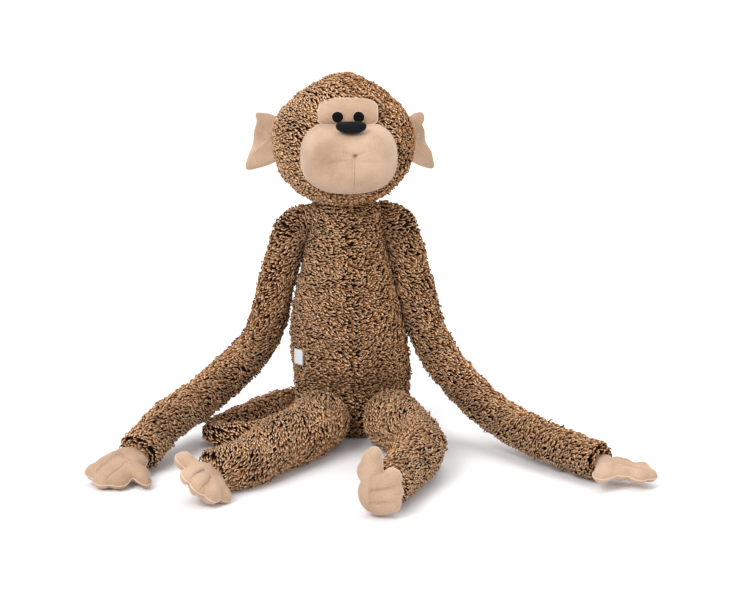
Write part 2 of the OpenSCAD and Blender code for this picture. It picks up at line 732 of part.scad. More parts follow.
torso_cover();
torso_stuffing();
seat_panel();
pellet_bag();
wash_label();
neck_cover();
neck_stuffing();
head_cover();
head_stuffing();
brow_panel();
muzzle_cover();
muzzle_stuffing();
eye_right();
eye_left();
nose();
mouth_stitch();
ear_right_front();
ear_right_back();
ear_left_front();
ear_left_back();
upper_arm_right_cover();
upper_arm_right_stuffing();
mid_arm_right_cover();
mid_arm_right_stuffing();
forearm_right_cover();
forearm_right_stuffing();
hand_right_top();
hand_right_palm();
hand_right_stuffing();
upper_arm_left_cover();
upper_arm_left_stuffing();
mid_arm_left_cover();
mid_arm_left_stuffing();
forearm_left_cover();
forearm_left_stuffing();
hand_left_top();
hand_left_palm();
hand_left_stuffing();
thigh_right_cover();
thigh_right_stuffing();
shin_right_cover();
shin_right_stuffing();
foot_right_top();
foot_right_sole();
foot_right_stuffing();
thigh_left_cover();
thigh_left_stuffing();
shin_left_cover();
shin_left_stuffing();
foot_left_top();
foot_left_sole();
foot_left_stuffing();
tail_root_cover();
tail_root_stuffing();
tail_middle_cover();
tail_middle_stuffing();
tail_tip_cover();
tail_tip_stuffing();
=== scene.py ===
import json
import math

import bpy
import mathutils
import numpy as np
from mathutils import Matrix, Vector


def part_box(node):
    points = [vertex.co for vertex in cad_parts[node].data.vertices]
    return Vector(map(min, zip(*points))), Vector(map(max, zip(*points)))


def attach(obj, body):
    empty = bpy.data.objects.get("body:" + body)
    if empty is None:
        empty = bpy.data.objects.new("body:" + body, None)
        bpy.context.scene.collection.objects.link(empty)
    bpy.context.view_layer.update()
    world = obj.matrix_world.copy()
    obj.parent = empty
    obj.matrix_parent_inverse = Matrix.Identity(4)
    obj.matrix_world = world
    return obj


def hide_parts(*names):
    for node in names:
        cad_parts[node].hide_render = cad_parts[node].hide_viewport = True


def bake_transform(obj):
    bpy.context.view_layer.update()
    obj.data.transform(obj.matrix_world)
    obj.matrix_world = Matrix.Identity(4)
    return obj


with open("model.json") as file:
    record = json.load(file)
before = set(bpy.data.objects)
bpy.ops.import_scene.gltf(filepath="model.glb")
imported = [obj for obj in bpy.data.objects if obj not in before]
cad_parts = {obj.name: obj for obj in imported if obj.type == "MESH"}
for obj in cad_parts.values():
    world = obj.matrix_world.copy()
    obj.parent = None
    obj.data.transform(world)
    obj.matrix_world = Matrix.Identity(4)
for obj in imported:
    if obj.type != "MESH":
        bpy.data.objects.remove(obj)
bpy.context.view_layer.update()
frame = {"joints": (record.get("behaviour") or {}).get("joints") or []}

# The visual model of a long-armed plush monkey. Metres; +X is the monkey's left, +Y its back, +Z up.
rng = np.random.default_rng(11)
MM = 0.001
place = {j["name"]: np.array(j["pos_m"], float) for j in frame["joints"]}


def corners(node):
    low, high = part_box(node)
    return np.array(low, float), np.array(high, float)


def unit(v):
    v = np.asarray(v, float)
    return v / np.maximum(np.linalg.norm(v, axis=-1, keepdims=True), 1e-12)


def distances(line):
    """The distance along a line of points, at each of them."""
    return np.concatenate([[0], np.cumsum(np.linalg.norm(np.diff(line, axis=0), axis=-1))])


def mix(a, b, share):
    return a + (b - a) * share


def smoothstep(x, low, high):
    s = np.clip((x - low) / (high - low), 0, 1)
    return s * s * (3 - 2 * s)


# ---- a smooth random field, the same each run ----
WAVES = [(unit(rng.normal(size=3)), rng.uniform(0.7, 1.6), rng.uniform(0, 2 * math.pi)) for _ in range(24)]
WAVES_SUMMED = 8


def field(points, size, seed=0):
    """Smooth noise from about -1 to 1, with features of about that size in metres."""
    total = np.zeros(np.shape(points)[:-1])
    for k in range(WAVES_SUMMED):
        way, rate, phase = WAVES[(k + 5 * seed) % len(WAVES)]
        total += np.sin(points @ way * (rate * 3.2 / size) + phase * (1 + seed))
    return total / 2.6


def smooth(x, knots, values):
    """A cubic curve through the values at the knots."""
    knots, values = np.asarray(knots, float), np.asarray(values, float)
    slope = np.gradient(values, knots)
    k = np.clip(np.searchsorted(knots, x, side="right") - 1, 0, len(knots) - 2)
    h = knots[k + 1] - knots[k]
    s = (x - knots[k]) / h
    a, b = values[k], values[k + 1]
    return (
        a * (1 + 2 * s) * (1 - s) ** 2 + b * s * s * (3 - 2 * s)
        + h * slope[k] * s * (1 - s) ** 2 - h * slope[k + 1] * s * s * (1 - s)
    )


# ---- materials ----
def srgb(r, g, b):
    def one(c):
        c /= 255
        return c / 12.92 if c <= 0.04045 else ((c + 0.055) / 1.055) ** 2.4
    return (one(r), one(g), one(b), 1.0)


def new_material(name):
    m = bpy.data.materials.new(name)
    m.use_nodes = True
    nodes, links = m.node_tree.nodes, m.node_tree.links
    return m, nodes, links, nodes["Principled BSDF"]


def ramp(nodes, stops):
    n = nodes.new("ShaderNodeValToRGB")
    n.color_ramp.interpolation = "EASE"
    while len(n.color_ramp.elements) < len(stops):
        n.color_ramp.elements.new(0.5)
    for e, (at, colour) in zip(n.color_ramp.elements, stops):
        e.position, e.color = at, colour
    return n


def pile_material():
    m, nodes, links, shader = new_material("pile_yarn")
    along = nodes.new("ShaderNodeAttribute")
    along.attribute_name = "along"
    shade = nodes.new("ShaderNodeAttribute")
    shade.attribute_name = "shade"
    # colour along a strand: near-black at the root, painted shade deep in the pile, to tan at the tip, the
    # yarn's own colour
    colours = ramp(nodes, [
        (0.0, srgb(8, 2, 0)), (0.35, srgb(26, 8, 2)), (0.62, srgb(150, 104, 69)), (1.0, srgb(255, 222, 186)),
    ])
    links.new(along.outputs["Fac"], colours.inputs["Fac"])
    hue = nodes.new("ShaderNodeHueSaturation")
    hue.inputs["Saturation"].default_value = 1.08
    links.new(colours.outputs["Color"], hue.inputs["Color"])
    links.new(shade.outputs["Fac"], hue.inputs["Value"])
    links.new(hue.outputs["Color"], shader.inputs["Base Color"])
    shader.inputs["Roughness"].default_value = 0.92
    shader.inputs["Specular IOR Level"].default_value = 0.06
    shader.inputs["Sheen Weight"].default_value = 0.04
    shader.inputs["Sheen Roughness"].default_value = 0.6
    return m


def cloth_material(name, dark, pale, grain, depth, sheen, blotch=18.0):
    """A napped or knitted cloth: blotches where the nap turns, a fine grain, and a soft sheen."""
    m, nodes, links, shader = new_material(name)
    where = nodes.new("ShaderNodeTexCoord")
    big = nodes.new("ShaderNodeTexNoise")
    big.inputs["Scale"].default_value = blotch
    big.inputs["Detail"].default_value = 3.0
    fine = nodes.new("ShaderNodeTexNoise")
    fine.inputs["Scale"].default_value = grain
    fine.inputs["Detail"].default_value = 4.0
    fine.inputs["Roughness"].default_value = 0.65
    for n in (big, fine):
        links.new(where.outputs["Object"], n.inputs["Vector"])
    both = nodes.new("ShaderNodeMix")
    both.data_type = "FLOAT"
    both.inputs["Factor"].default_value = 0.42
    links.new(big.outputs["Fac"], both.inputs[2])
    links.new(fine.outputs["Fac"], both.inputs[3])
    colours = ramp(nodes, [(0.3, dark), (0.7, pale)])
    links.new(both.outputs[0], colours.inputs["Fac"])
    links.new(colours.outputs["Color"], shader.inputs["Base Color"])
    rough = nodes.new("ShaderNodeMapRange")
    rough.inputs["To Min"].default_value = 0.78
    rough.inputs["To Max"].default_value = 0.98
    links.new(fine.outputs["Fac"], rough.inputs["Value"])
    links.new(rough.outputs["Result"], shader.inputs["Roughness"])
    bump = nodes.new("ShaderNodeBump")
    bump.inputs["Strength"].default_value = depth
    bump.inputs["Distance"].default_value = 0.0006
    links.new(fine.outputs["Fac"], bump.inputs["Height"])
    links.new(bump.outputs["Normal"], shader.inputs["Normal"])
    shader.inputs["Specular IOR Level"].default_value = 0.2
    shader.inputs["Sheen Weight"].default_value = sheen
    shader.inputs["Sheen Roughness"].default_value = 0.45
    return m


PILE = pile_material()
# the backing: dark brown cloth, darkened nearly to black as painted shade in the gaps between the yarns
BACKING = cloth_material("pile_backing", srgb(10, 3, 1), srgb(28, 12, 5), 700.0, 0.5, 0.0)
VELOUR = cloth_material("velour", srgb(165, 133, 106), srgb(211, 179, 152), 900.0, 0.4, 0.25)
# paler than the velour: painted highlight on the raised seams, piping and stitch lines drawn with it
SEAM = cloth_material("velour_seam", srgb(206, 176, 150), srgb(228, 204, 182), 1200.0, 0.3, 0.2)
NOSE = cloth_material("black_velour", srgb(4, 5, 8), srgb(16, 18, 24), 900.0, 0.4, 0.05)
EYE = cloth_material("black_thread", srgb(4, 3, 3), srgb(16, 12, 12), 1500.0, 0.5, 0.02)
THREAD = cloth_material("thread", srgb(150, 106, 78), srgb(190, 146, 112), 1800.0, 0.4, 0.05)
RIBBON = cloth_material("label_ribbon", srgb(222, 224, 228), srgb(246, 247, 250), 1600.0, 0.3, 0.1)


# ---- meshes ----
def mesh_object(name, points, faces, material):
    """faces is a list of blocks, each an array with one row of corner indices a face."""
    mesh = bpy.data.meshes.new(name)
    sizes = np.concatenate([np.full(len(f), f.shape[1]) for f in faces])
    loops = np.concatenate([f.ravel() for f in faces]).astype(np.int32)
    starts = np.concatenate([[0], np.cumsum(sizes)[:-1]]).astype(np.int32)
    mesh.vertices.add(len(points))
    mesh.vertices.foreach_set("co", np.asarray(points, np.float32).ravel())
    mesh.loops.add(len(loops))
    mesh.loops.foreach_set("vertex_index", loops)
    mesh.polygons.add(len(sizes))
    mesh.polygons.foreach_set("loop_start", starts)
    mesh.polygons.foreach_set("use_smooth", np.ones(len(sizes), bool))
    mesh.materials.append(material)
    mesh.update(calc_edges=True)
    mesh.validate()
    obj = bpy.data.objects.new(name, mesh)
    bpy.context.scene.collection.objects.link(obj)
    return obj, loops


def belongs(piece, body, stands_for=()):
    """Say which body carries the piece, and the nodes it replaces."""
    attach(piece, body)
    if stands_for:
        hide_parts(*stands_for)


def grid_faces(rows, columns, start=0):
    """Quads of a grid whose rows are closed rings."""
    k = np.arange(rows - 1)[:, None] * columns
    i = np.arange(columns)[None, :]
    j = (i + 1) % columns
    return np.stack([k + i, k + j, k + columns + j, k + columns + i], -1).reshape(-1, 4) + start


def fan(centre, ring, flip=False):
    f = np.stack([np.full(len(ring), centre), ring, np.roll(ring, -1)], -1)
    return f[:, ::-1] if flip else f


# ---- pile ----
RINGS = np.array([0.0, 0.34, 0.7, 1.0])
WIDTHS = np.array([0.8, 1.0, 1.0, 0.72])
SIDES = 4
YARN_R = 1.0 * MM
SPACING = 3.15 * MM
ROW_STEP = SPACING * 0.87  # rows lie a little closer than the yarns along them
WANDER = 0.36  # how far a yarn strays from its even place, as a share of the step
WILD = 0.2  # how far yarns turn away from the nap


def yarns(name, roots, normals, nap, length=8.6 * MM, lift=1.0, bright=1.0):
    """Strands of pile: each leaves the backing, bends over along the nap and ends in a soft tip."""
    n = len(roots)
    side = unit(np.cross(normals, nap))
    nap = unit(np.cross(side, normals))
    turn = WILD * (0.55 * field(roots, 0.02, 1) + 0.55 * rng.normal(size=n))
    way = nap * np.cos(turn)[:, None] + side * np.sin(turn)[:, None]
    cross = unit(np.cross(normals, way))
    size = length * rng.uniform(0.78, 1.2, n)
    rise = lift * (0.44 + 0.1 * rng.normal(size=n) + 0.1 * field(roots, 0.012, 2))
    rise = np.clip(rise, 0.14, 0.85)
    curl = 0.17 * rng.normal(size=n) + 0.12 * field(roots, 0.01, 3)
    up = np.stack([np.full(n, -0.1), 0.62 * rise, rise, 0.82 * rise], 1)
    on = np.stack([np.zeros(n), np.full(n, 0.2), np.full(n, 0.52), np.full(n, 0.86)], 1)
    aside = np.stack([np.zeros(n), 0.7 * curl, 0.4 * curl, -0.5 * curl], 1)
    path = sum(x[..., None] * axis[:, None, :] for x, axis in ((up, normals), (on, way), (aside, cross)))
    path = roots[:, None, :] + size[:, None, None] * path
    path[..., 2] = np.maximum(path[..., 2], 0.9 * MM)
    heading = unit(np.gradient(path, axis=1))
    a = unit(np.cross(heading, normals[:, None, :] + 0.01))
    b = np.cross(heading, a)
    thick = YARN_R * rng.uniform(0.82, 1.18, n)[:, None] * WIDTHS[None, :]
    spin = np.arange(SIDES) * 2 * math.pi / SIDES + math.pi / 4
    spoke = np.cos(spin)[:, None] * a[:, :, None, :] + np.sin(spin)[:, None] * b[:, :, None, :]
    rings = path[:, :, None, :] + thick[:, :, None, None] * spoke
    tips = path[:, -1] + heading[:, -1] * (0.8 * thick[:, -1:])
    count = len(RINGS) * SIDES + 1
    points = np.concatenate([rings.reshape(n, -1, 3), tips[:, None, :]], 1)
    points[..., 2] = np.maximum(points[..., 2], 0.3 * MM)
    first = np.arange(n)[:, None, None] * count
    quads = (first + grid_faces(len(RINGS), SIDES)[None]).reshape(-1, 4)
    last = (len(RINGS) - 1) * SIDES + np.arange(SIDES)
    ends = (first + fan(count - 1, last, True)[None]).reshape(-1, 3)
    obj, loops = mesh_object(name, points.reshape(-1, 3), [quads, ends], PILE)
    along = np.append(np.repeat(RINGS * 0.94, SIDES), 1.0)
    # each strand's own tone at random, times a factor that lightens some parts of the pile as painted light
    shade = np.clip(bright * rng.normal(1.0, 0.13, n) + 0.07 * field(roots, 0.03, 4), 0.6, 1.35)
    for key, values in (("along", np.tile(along, n)), ("shade", np.repeat(shade, count))):
        data = obj.data.attributes.new(key, "FLOAT", "POINT")
        data.data.foreach_set("value", values.astype(np.float32))
    # one small cell of the baked picture for each strand
    cells = int(math.ceil(math.sqrt(n)))
    across = np.append(np.tile(np.abs(np.arange(SIDES) - SIDES / 2) / (SIDES / 2), len(RINGS)), 0.5)
    u = (np.arange(n)[:, None] % cells + 0.15 + 0.7 * across[None, :]) / cells
    v = (np.arange(n)[:, None] // cells + 0.12 + 0.76 * along[None, :]) / cells
    uv = np.stack([u, v], -1).reshape(-1, 2)
    layer = obj.data.uv_layers.new(name="OFBake")
    layer.data.foreach_set("uv", uv[loops].astype(np.float32).ravel())
    return obj


def scatter(surface, start, end):
    """Even but irregular places on a surface, as (t, v) pairs, from start to end along it."""
    t = np.linspace(start, end, 240)
    v = np.linspace(0, 1, 13)[:-1]
    lines = np.stack([surface(t, np.full_like(t, x)) for x in v])
    steps = np.linalg.norm(np.diff(lines, axis=1), axis=-1).mean(0)
    run = np.concatenate([[0], np.cumsum(steps)])
    rows = max(int(run[-1] / ROW_STEP), 1)
    at = np.interp((np.arange(rows) + 0.5) * run[-1] / rows, run, t)
    found = []
    ring = np.linspace(0, 1, 97)
    for k, row in enumerate(at):
        p = surface(np.full_like(ring, row), ring)
        far = distances(p)
        n = int(far[-1] / SPACING)
        if n < 1:
            continue
        where = (np.arange(n) + 0.5 + 0.5 * (k % 2) + WANDER * rng.uniform(-1, 1, n)) * far[-1] / n
        vs = np.interp(np.mod(where, far[-1]), far, ring)
        step = (end - start) * ROW_STEP / run[-1]
        ts = np.clip(row + WANDER * step * rng.uniform(-1, 1, n), start, end)
        found.append(np.stack([ts, vs], 1))
    found = np.concatenate(found)
    return found[:, 0], found[:, 1]


def frame_at(surface, t, v):
    """Points, outward normals, and the directions along t and around v."""
    e = 1e-3
    p = surface(t, v)
    along = unit(surface(np.minimum(t + e, 1), v) - surface(np.maximum(t - e, 0), v))
    around = unit(surface(t, v + e) - surface(t, v - e))
    normal = unit(np.cross(around, along))
    return p, normal, along, around


def skin_mesh(name, surface, start, end, rows, columns, material, close=(True, True)):
    t = np.linspace(start, end, rows)
    v = np.arange(columns) / columns
    tt, vv = np.meshgrid(t, v, indexing="ij")
    points = surface(tt.ravel(), vv.ravel())
    faces = [grid_faces(rows, columns)]
    if close[0]:
        points = np.vstack([points, points[:columns].mean(0)])
        faces.append(fan(len(points) - 1, np.arange(columns), True))
    if close[1]:
        points = np.vstack([points, points[(rows - 1) * columns:rows * columns].mean(0)])
        faces.append(fan(len(points) - 1, (rows - 1) * columns + np.arange(columns)))
    points[:, 2] = np.maximum(points[:, 2], 0.0)
    obj, _ = mesh_object(name, points, faces, material)
    return obj


def through_rings(rings, heights, inset=0.0, flat_front=None):
    """A surface through oval rings given as (height, half width, half depth, x, y), in metres."""
    r = np.array(rings, float)
    step = np.hypot(np.diff(r[:, 0]), np.diff(r[:, 1]))
    knots = np.concatenate([[0], np.cumsum(step)])
    knots /= knots[-1]

    def surface(t, v):
        t = np.asarray(t, float)
        z, w, d, x, y = (smooth(t, knots, r[:, k]) for k in range(5))
        a = 2 * math.pi * np.asarray(v, float)
        px = x + np.maximum(w - inset, 0.5 * MM) * np.cos(a)
        py = y + np.maximum(d - inset, 0.5 * MM) * np.sin(a)
        if flat_front is not None:
            soft = 4 * MM
            py = flat_front + inset + soft * np.logaddexp(0, (py - flat_front - inset) / soft)
        pz = np.clip(z, heights[0] + min(inset, 1 * MM), heights[1] - 0.6 * inset)
        return np.stack([px, py, pz], -1)

    return surface, knots


# ---- torso ----
SKIN = 3.6 * MM  # how far the backing lies below the outside of the CAD cover
torso_low, torso_high = corners("torso_cover")
# height and half widths as shares of the cover's, and the middle's x and y in mm
TORSO_RINGS = [
    (0.00, 0.83, 0.60, 2, 4), (0.034, 0.93, 0.73, 2, 4), (0.12, 0.97, 0.76, 1, 5),
    (0.24, 0.99, 0.78, 0, 5), (0.34, 1.00, 0.96, -2, 0), (0.51, 0.96, 1.00, -6, -1),
    (0.61, 0.89, 0.96, -7, -1), (0.745, 0.77, 0.89, -7, 0), (0.83, 0.70, 0.84, -8, 0),
    (0.91, 0.64, 0.78, -8, 0), (0.966, 0.63, 0.75, -8, 0), (1.00, 0.58, 0.70, -8, 0),
]
torso_h = torso_high[2] - torso_low[2]
half_w = (torso_high[0] - torso_low[0]) / 2.017
half_d = (torso_high[1] - torso_low[1]) / 2
torso_surface, torso_knots = through_rings(
    [(h * torso_h, w * half_w, d * half_d, x * MM, y * MM) for h, w, d, x, y in TORSO_RINGS],
    (0.0, torso_h), SKIN,
)


def seam_x(z):
    """The centre seam wanders a little to the monkey's left as it goes down."""
    return (-9 + 12 * np.clip((torso_h - z) / torso_h, 0, 1)) * MM


def grooved_torso(t, v):
    p = torso_surface(t, v)
    near = np.exp(-(((p[..., 0] - seam_x(p[..., 2])) / (4 * MM)) ** 2)) * (p[..., 1] < 0)
    p[..., 1] += 1.6 * MM * near
    return p


torso_skin = skin_mesh("torso_backing", grooved_torso, 0.0, 1.0, 60, 96, BACKING)
belongs(torso_skin, "torso", ["torso_cover", "torso_stuffing", "seat_panel", "pellet_bag"])


def torso_nap(p, normal, along, around):
    """The nap runs round the body, slanting down on one side of the seam and level on the other."""
    past = p[:, 0] - seam_x(p[:, 2])
    front = smoothstep(-p[:, 1], 0.0, 20 * MM)
    slope = np.radians(12 - 18 * smoothstep(past, -6 * MM, 10 * MM) * front) + 0.16 * field(p, 0.05, 5)
    down = np.array([0.0, 0.0, -1.0])
    nap = around * np.cos(slope)[:, None] + down * np.sin(slope)[:, None]
    near = front * np.exp(-((past / (6 * MM)) ** 2))
    return nap + near[:, None] * rng.normal(0, 0.5, (len(p), 3))


def pile_on(name, surface, start, end, body, nap, keep=None, **look):
    """Pile on a stretch of a surface, carried by a body, or by none where it crosses a joint."""
    t, v = scatter(surface, start, end)
    p, normal, along, turn = frame_at(surface, t, v)
    if keep is not None:
        held = keep(p, normal)
        p, normal, along, turn = p[held], normal[held], along[held], turn[held]
    obj = yarns(name, p, normal, nap(p, normal, along, turn), **look)
    if body:
        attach(obj, body)
    return obj


bands = np.linspace(torso_knots[1] * 0.4, 1.0, 4)
for k, (low, high) in enumerate(zip(bands[:-1], bands[1:])):
    pile_on(f"torso_pile_{k + 1}", grooved_torso, low, high, "torso", torso_nap)

# ---- neck ----
neck_low, neck_high = corners("neck_cover")
neck_middle = (neck_low + neck_high) / 2
neck_r = (neck_high[0] - neck_low[0]) / 2
NECK_SPAN = 3 * MM


def neck_surface(t, v):
    a = 2 * math.pi * np.asarray(v, float)
    r = neck_r - 2 * MM - 7 * MM * np.asarray(t, float) ** 2
    z = neck_low[2] - NECK_SPAN + (neck_high[2] - neck_low[2] + NECK_SPAN) * np.asarray(t, float)
    return np.stack([neck_middle[0] + 1.32 * r * np.cos(a), neck_middle[1] + r * np.sin(a), z], -1)


neck_skin = skin_mesh("neck_backing", neck_surface, 0.0, 1.0, 8, 64, BACKING)
belongs(neck_skin, "neck", ["neck_cover", "neck_stuffing"])
pile_on("neck_pile", neck_surface, 0.0, 1.0, "neck", lambda p, normal, along, around: around - 0.4 * along,
        length=8 * MM, lift=0.8)

# ---- head ----
head_low, head_high = corners("head_cover")
head_h = head_high[2] - head_low[2]
face_front = head_low[1]
head_x = (head_low[0] + head_high[0]) / 2
head_w = (head_high[0] - head_low[0]) / 2
head_d = head_high[1]
# height and half widths, as shares of the cover's
HEAD_RINGS = [
    (0.00, 0.34, 0.36), (0.055, 0.56, 0.60), (0.15, 0.77, 0.80), (0.23, 0.89, 0.91), (0.35, 0.97, 0.98),
    (0.49, 1.00, 1.00), (0.61, 0.965, 0.98), (0.72, 0.855, 0.88), (0.80, 0.71, 0.76), (0.88, 0.54, 0.61),
    (0.955, 0.26, 0.33), (1.00, 0.06, 0.08),
]
head_rings = [
    (head_low[2] + h * head_h, w * head_w, d * head_d, head_x, 0.0) for h, w, d in HEAD_RINGS
]
head_surface, head_knots = through_rings(head_rings, (head_low[2], head_high[2]), SKIN, face_front)
head_skin = skin_mesh("head_backing", head_surface, 0.0, 1.0, 60, 96, BACKING)
belongs(head_skin, "head", ["head_cover", "head_stuffing"])

muzzle_low, muzzle_high = corners("muzzle_cover")
MUZZLE_CUT = 0.867  # where its top is cut straight, as a share of its half height
muzzle_w = (muzzle_high[0] - muzzle_low[0]) / 2
muzzle_h = (muzzle_high[2] - muzzle_low[2]) / (1 + MUZZLE_CUT)
muzzle_at = np.array([(muzzle_low[0] + muzzle_high[0]) / 2, muzzle_high[1], muzzle_low[2] + muzzle_h])
muzzle_out = muzzle_high[1] - muzzle_low[1]
brow_low, brow_high = corners("brow_panel")
brow_at = np.array([(brow_low[0] + brow_high[0]) / 2, 0.0, (brow_low[2] + brow_high[2]) / 2])


def rounded(angle, w, h, power):
    c, s = np.abs(np.cos(angle)) / w, np.abs(np.sin(angle)) / h
    return (c ** power + s ** power) ** (-1 / power)


def muzzle_reach(angle):
    """The muzzle's edge: a rounded box, cut straight across at the top."""
    box = rounded(angle, muzzle_w, muzzle_h, 2.5)
    top = MUZZLE_CUT * muzzle_h / np.maximum(np.sin(angle), 0.05)
    return np.where(np.sin(angle) > 0, np.minimum(box, top), box)


def brow_reach(angle):
    """The brow panel's edge: a dome above, nearly straight below."""
    w = (brow_high[0] - brow_low[0]) / 2 - 0.5 * MM
    h = (brow_high[2] - brow_low[2]) / 2
    above = rounded(angle, w, h, 2.8)
    below = rounded(angle, w, h * 1.06, 7.0)
    return np.where(np.sin(angle) > 0, above, below)


def inside(p, middle, reach, grow):
    dx, dz = p[:, 0] - middle[0], p[:, 2] - middle[2]
    return np.hypot(dx, dz) < reach(np.arctan2(dz, dx)) + grow


def outside_face(p, normal):
    """True where the head has pile: outside the muzzle and the brow panel."""
    front = p[:, 1] < 0
    muzzle = inside(p, muzzle_at, muzzle_reach, -2.5 * MM) & (p[:, 1] < face_front + SKIN + 2.5 * MM)
    brow = inside(p, brow_at, brow_reach, -3.5 * MM)
    return ~(front & (muzzle | brow))


def head_nap(p, normal, along, around):
    slope = np.radians(18) + 0.3 * field(p, 0.05, 5)
    top = smoothstep(p[:, 2], head_low[2] + 0.86 * head_h, head_low[2] + 0.96 * head_h)
    slope = slope * (1 - top) - 0.9 * top
    return around * np.cos(slope)[:, None] - along * np.sin(slope)[:, None]


bands = np.linspace(head_knots[0], 1.0, 4)
for k, (low, high) in enumerate(zip(bands[:-1], bands[1:])):
    # the head's pile is lightened by 12 per cent as painted light, for the light falling on its top
    pile_on(f"head_pile_{k + 1}", head_surface, low, high, "head", head_nap, outside_face,
            length=8 * MM, lift=0.85, bright=1.12)


# ---- padded velour pieces, grown from a middle point out to their edge ----
def reach_of(circles, middle, angle):
    """Distance from the middle to the far side of a group of circles, at each angle."""
    best = np.zeros_like(angle)
    for x, y, r in circles:
        d = np.array([x - middle[0], y - middle[1]])
        along = d[0] * np.cos(angle) + d[1] * np.sin(angle)
        room = r * r - d @ d + along ** 2
        best = np.maximum(best, np.where(room < 0, 0, along + np.sqrt(np.maximum(room, 0))))
    return best


def rounded_off(r, count):
    for _ in range(count):
        r = 0.5 * r + 0.25 * (np.roll(r, 1) + np.roll(r, -1))
    return r


def to_segment(q, a, b):
    a, b = np.asarray(a, float), np.asarray(b, float)
    s = np.clip(((q - a) @ (b - a)) / ((b - a) @ (b - a)), 0, 1)
    return np.linalg.norm(q - (a + s[..., None] * (b - a)), axis=-1)


def to_lines(q, lines):
    far = np.full(q.shape[:-1], 1.0)
    for line in lines:
        for a, b in zip(line[:-1], line[1:]):
            far = np.minimum(far, to_segment(q, a, b))
    return far


def axes(u, v):
    a = unit(u)
    b = unit(np.asarray(v, float) - (np.asarray(v, float) @ a) * a)
    return np.array([a, b, np.cross(a, b)])


RAYS = 288
TURNS = np.arange(RAYS) * 2 * math.pi / RAYS


def pad(name, origin, basis, middle, edge, rows, top, bottom, material):
    """A closed padded piece. top and bottom give the height at flat points; edge is the rim's distance."""
    rim = np.stack([np.cos(TURNS), np.sin(TURNS)], -1) * edge[:, None]
    share = np.sin(0.5 * math.pi * np.arange(1, rows + 1) / rows)
    flat = middle + share[:, None, None] * rim[None]
    outline = middle + rim
    ring = np.vstack([outline, outline[:1]])
    far = np.full(flat.shape[:-1], 1.0)
    for a, b in zip(ring[:-1], ring[1:]):
        far = np.minimum(far, to_segment(flat, a, b))
    far[-1] = 0
    both = np.vstack([flat.reshape(-1, 2), np.array(middle)[None]])
    both_far = np.append(far.ravel(), far[0].mean())
    up, down = top(both, both_far), bottom(both, both_far)
    inner = (rows - 1) * RAYS  # how many points lie inside the rim
    mid = 0.5 * (up[inner:-1] + down[inner:-1])
    up[inner:-1] = mid
    n = rows * RAYS + 1
    keep = np.r_[0:inner, n - 1]
    points = np.vstack([np.c_[both, up], np.c_[both[keep], down[keep]]])
    index = np.arange(RAYS)
    low_edge, high_edge = n + inner - RAYS + index, inner + index
    join = np.stack([high_edge, np.roll(high_edge, -1), np.roll(low_edge, -1), low_edge], -1)
    faces = [
        grid_faces(rows, RAYS), fan(n - 1, index, True),
        grid_faces(rows - 1, RAYS, n)[:, ::-1], join, fan(n + inner, n + index),
    ]
    world = np.asarray(origin) + points @ basis
    world[:, 2] = np.maximum(world[:, 2], 0.2 * MM)
    obj, _ = mesh_object(name, world, faces, material)
    return obj, outline, mid


def carried(normal, heading):
    """A normal carried along a line without twisting, given the line's headings."""
    normals = [normal]
    for h in heading[1:]:
        normals.append(unit(normals[-1] - (normals[-1] @ h) * h))
    return np.array(normals)


def tube(points, radius, sides=8, closed=False):
    """Points and faces of a thin tube along a line of points."""
    p = np.asarray(points, float)
    n = len(p)
    if closed:
        heading = unit(np.roll(p, -1, 0) - np.roll(p, 1, 0))
    else:
        heading = unit(np.gradient(p, axis=0))
    normal = carried(unit(np.cross(heading[0], [0.3, 0.5, 0.8])), heading)
    other = np.cross(heading, normal)
    a = np.arange(sides) * 2 * math.pi / sides
    r = np.broadcast_to(radius, (n,))
    ring = p[:, None] + r[:, None, None] * (
        np.cos(a)[None, :, None] * normal[:, None] + np.sin(a)[None, :, None] * other[:, None]
    )
    faces = [grid_faces(n, sides)]
    if closed:
        # the last ring is joined to the first at the turn that fits best
        last, first = ring[-1], ring[0]
        shift = min(range(sides), key=lambda s: np.linalg.norm(last - np.roll(first, -s, 0)))
        i = np.arange(sides)
        j = (i + 1) % sides
        end = (n - 1) * sides
        faces.append(np.stack([end + i, end + j, (j + shift) % sides, (i + shift) % sides], -1))
        points = ring.reshape(-1, 3)
    else:
        points = np.vstack([ring.reshape(-1, 3), p[0], p[-1]])
        faces += [fan(n * sides, np.arange(sides), True)]
        faces += [fan(n * sides + 1, (n - 1) * sides + np.arange(sides))]
    return points, faces


def join_tubes(name, tubes, material):
    points, quads, tris, count = [], [], [], 0
    for p, faces in tubes:
        for f in faces:
            (quads if f.shape[1] == 4 else tris).append(f + count)
        points.append(p)
        count += len(p)
    blocks = [np.vstack(x) for x in (quads, tris) if x]
    obj, _ = mesh_object(name, np.vstack(points), blocks, material)
    return obj


def swell(far, full):
    """Height share of a stuffed piece at a distance from its seam."""
    return np.sqrt(np.maximum(1 - (1 - np.minimum(far / full, 1)) ** 2, 0))


def resampled(line, step):
    line = np.asarray(line, float)
    far = distances(line)
    n = max(int(far[-1] / step), 2)
    at = np.linspace(0, far[-1], n)
    return np.stack([np.interp(at, far, line[:, k]) for k in range(line.shape[1])], 1)


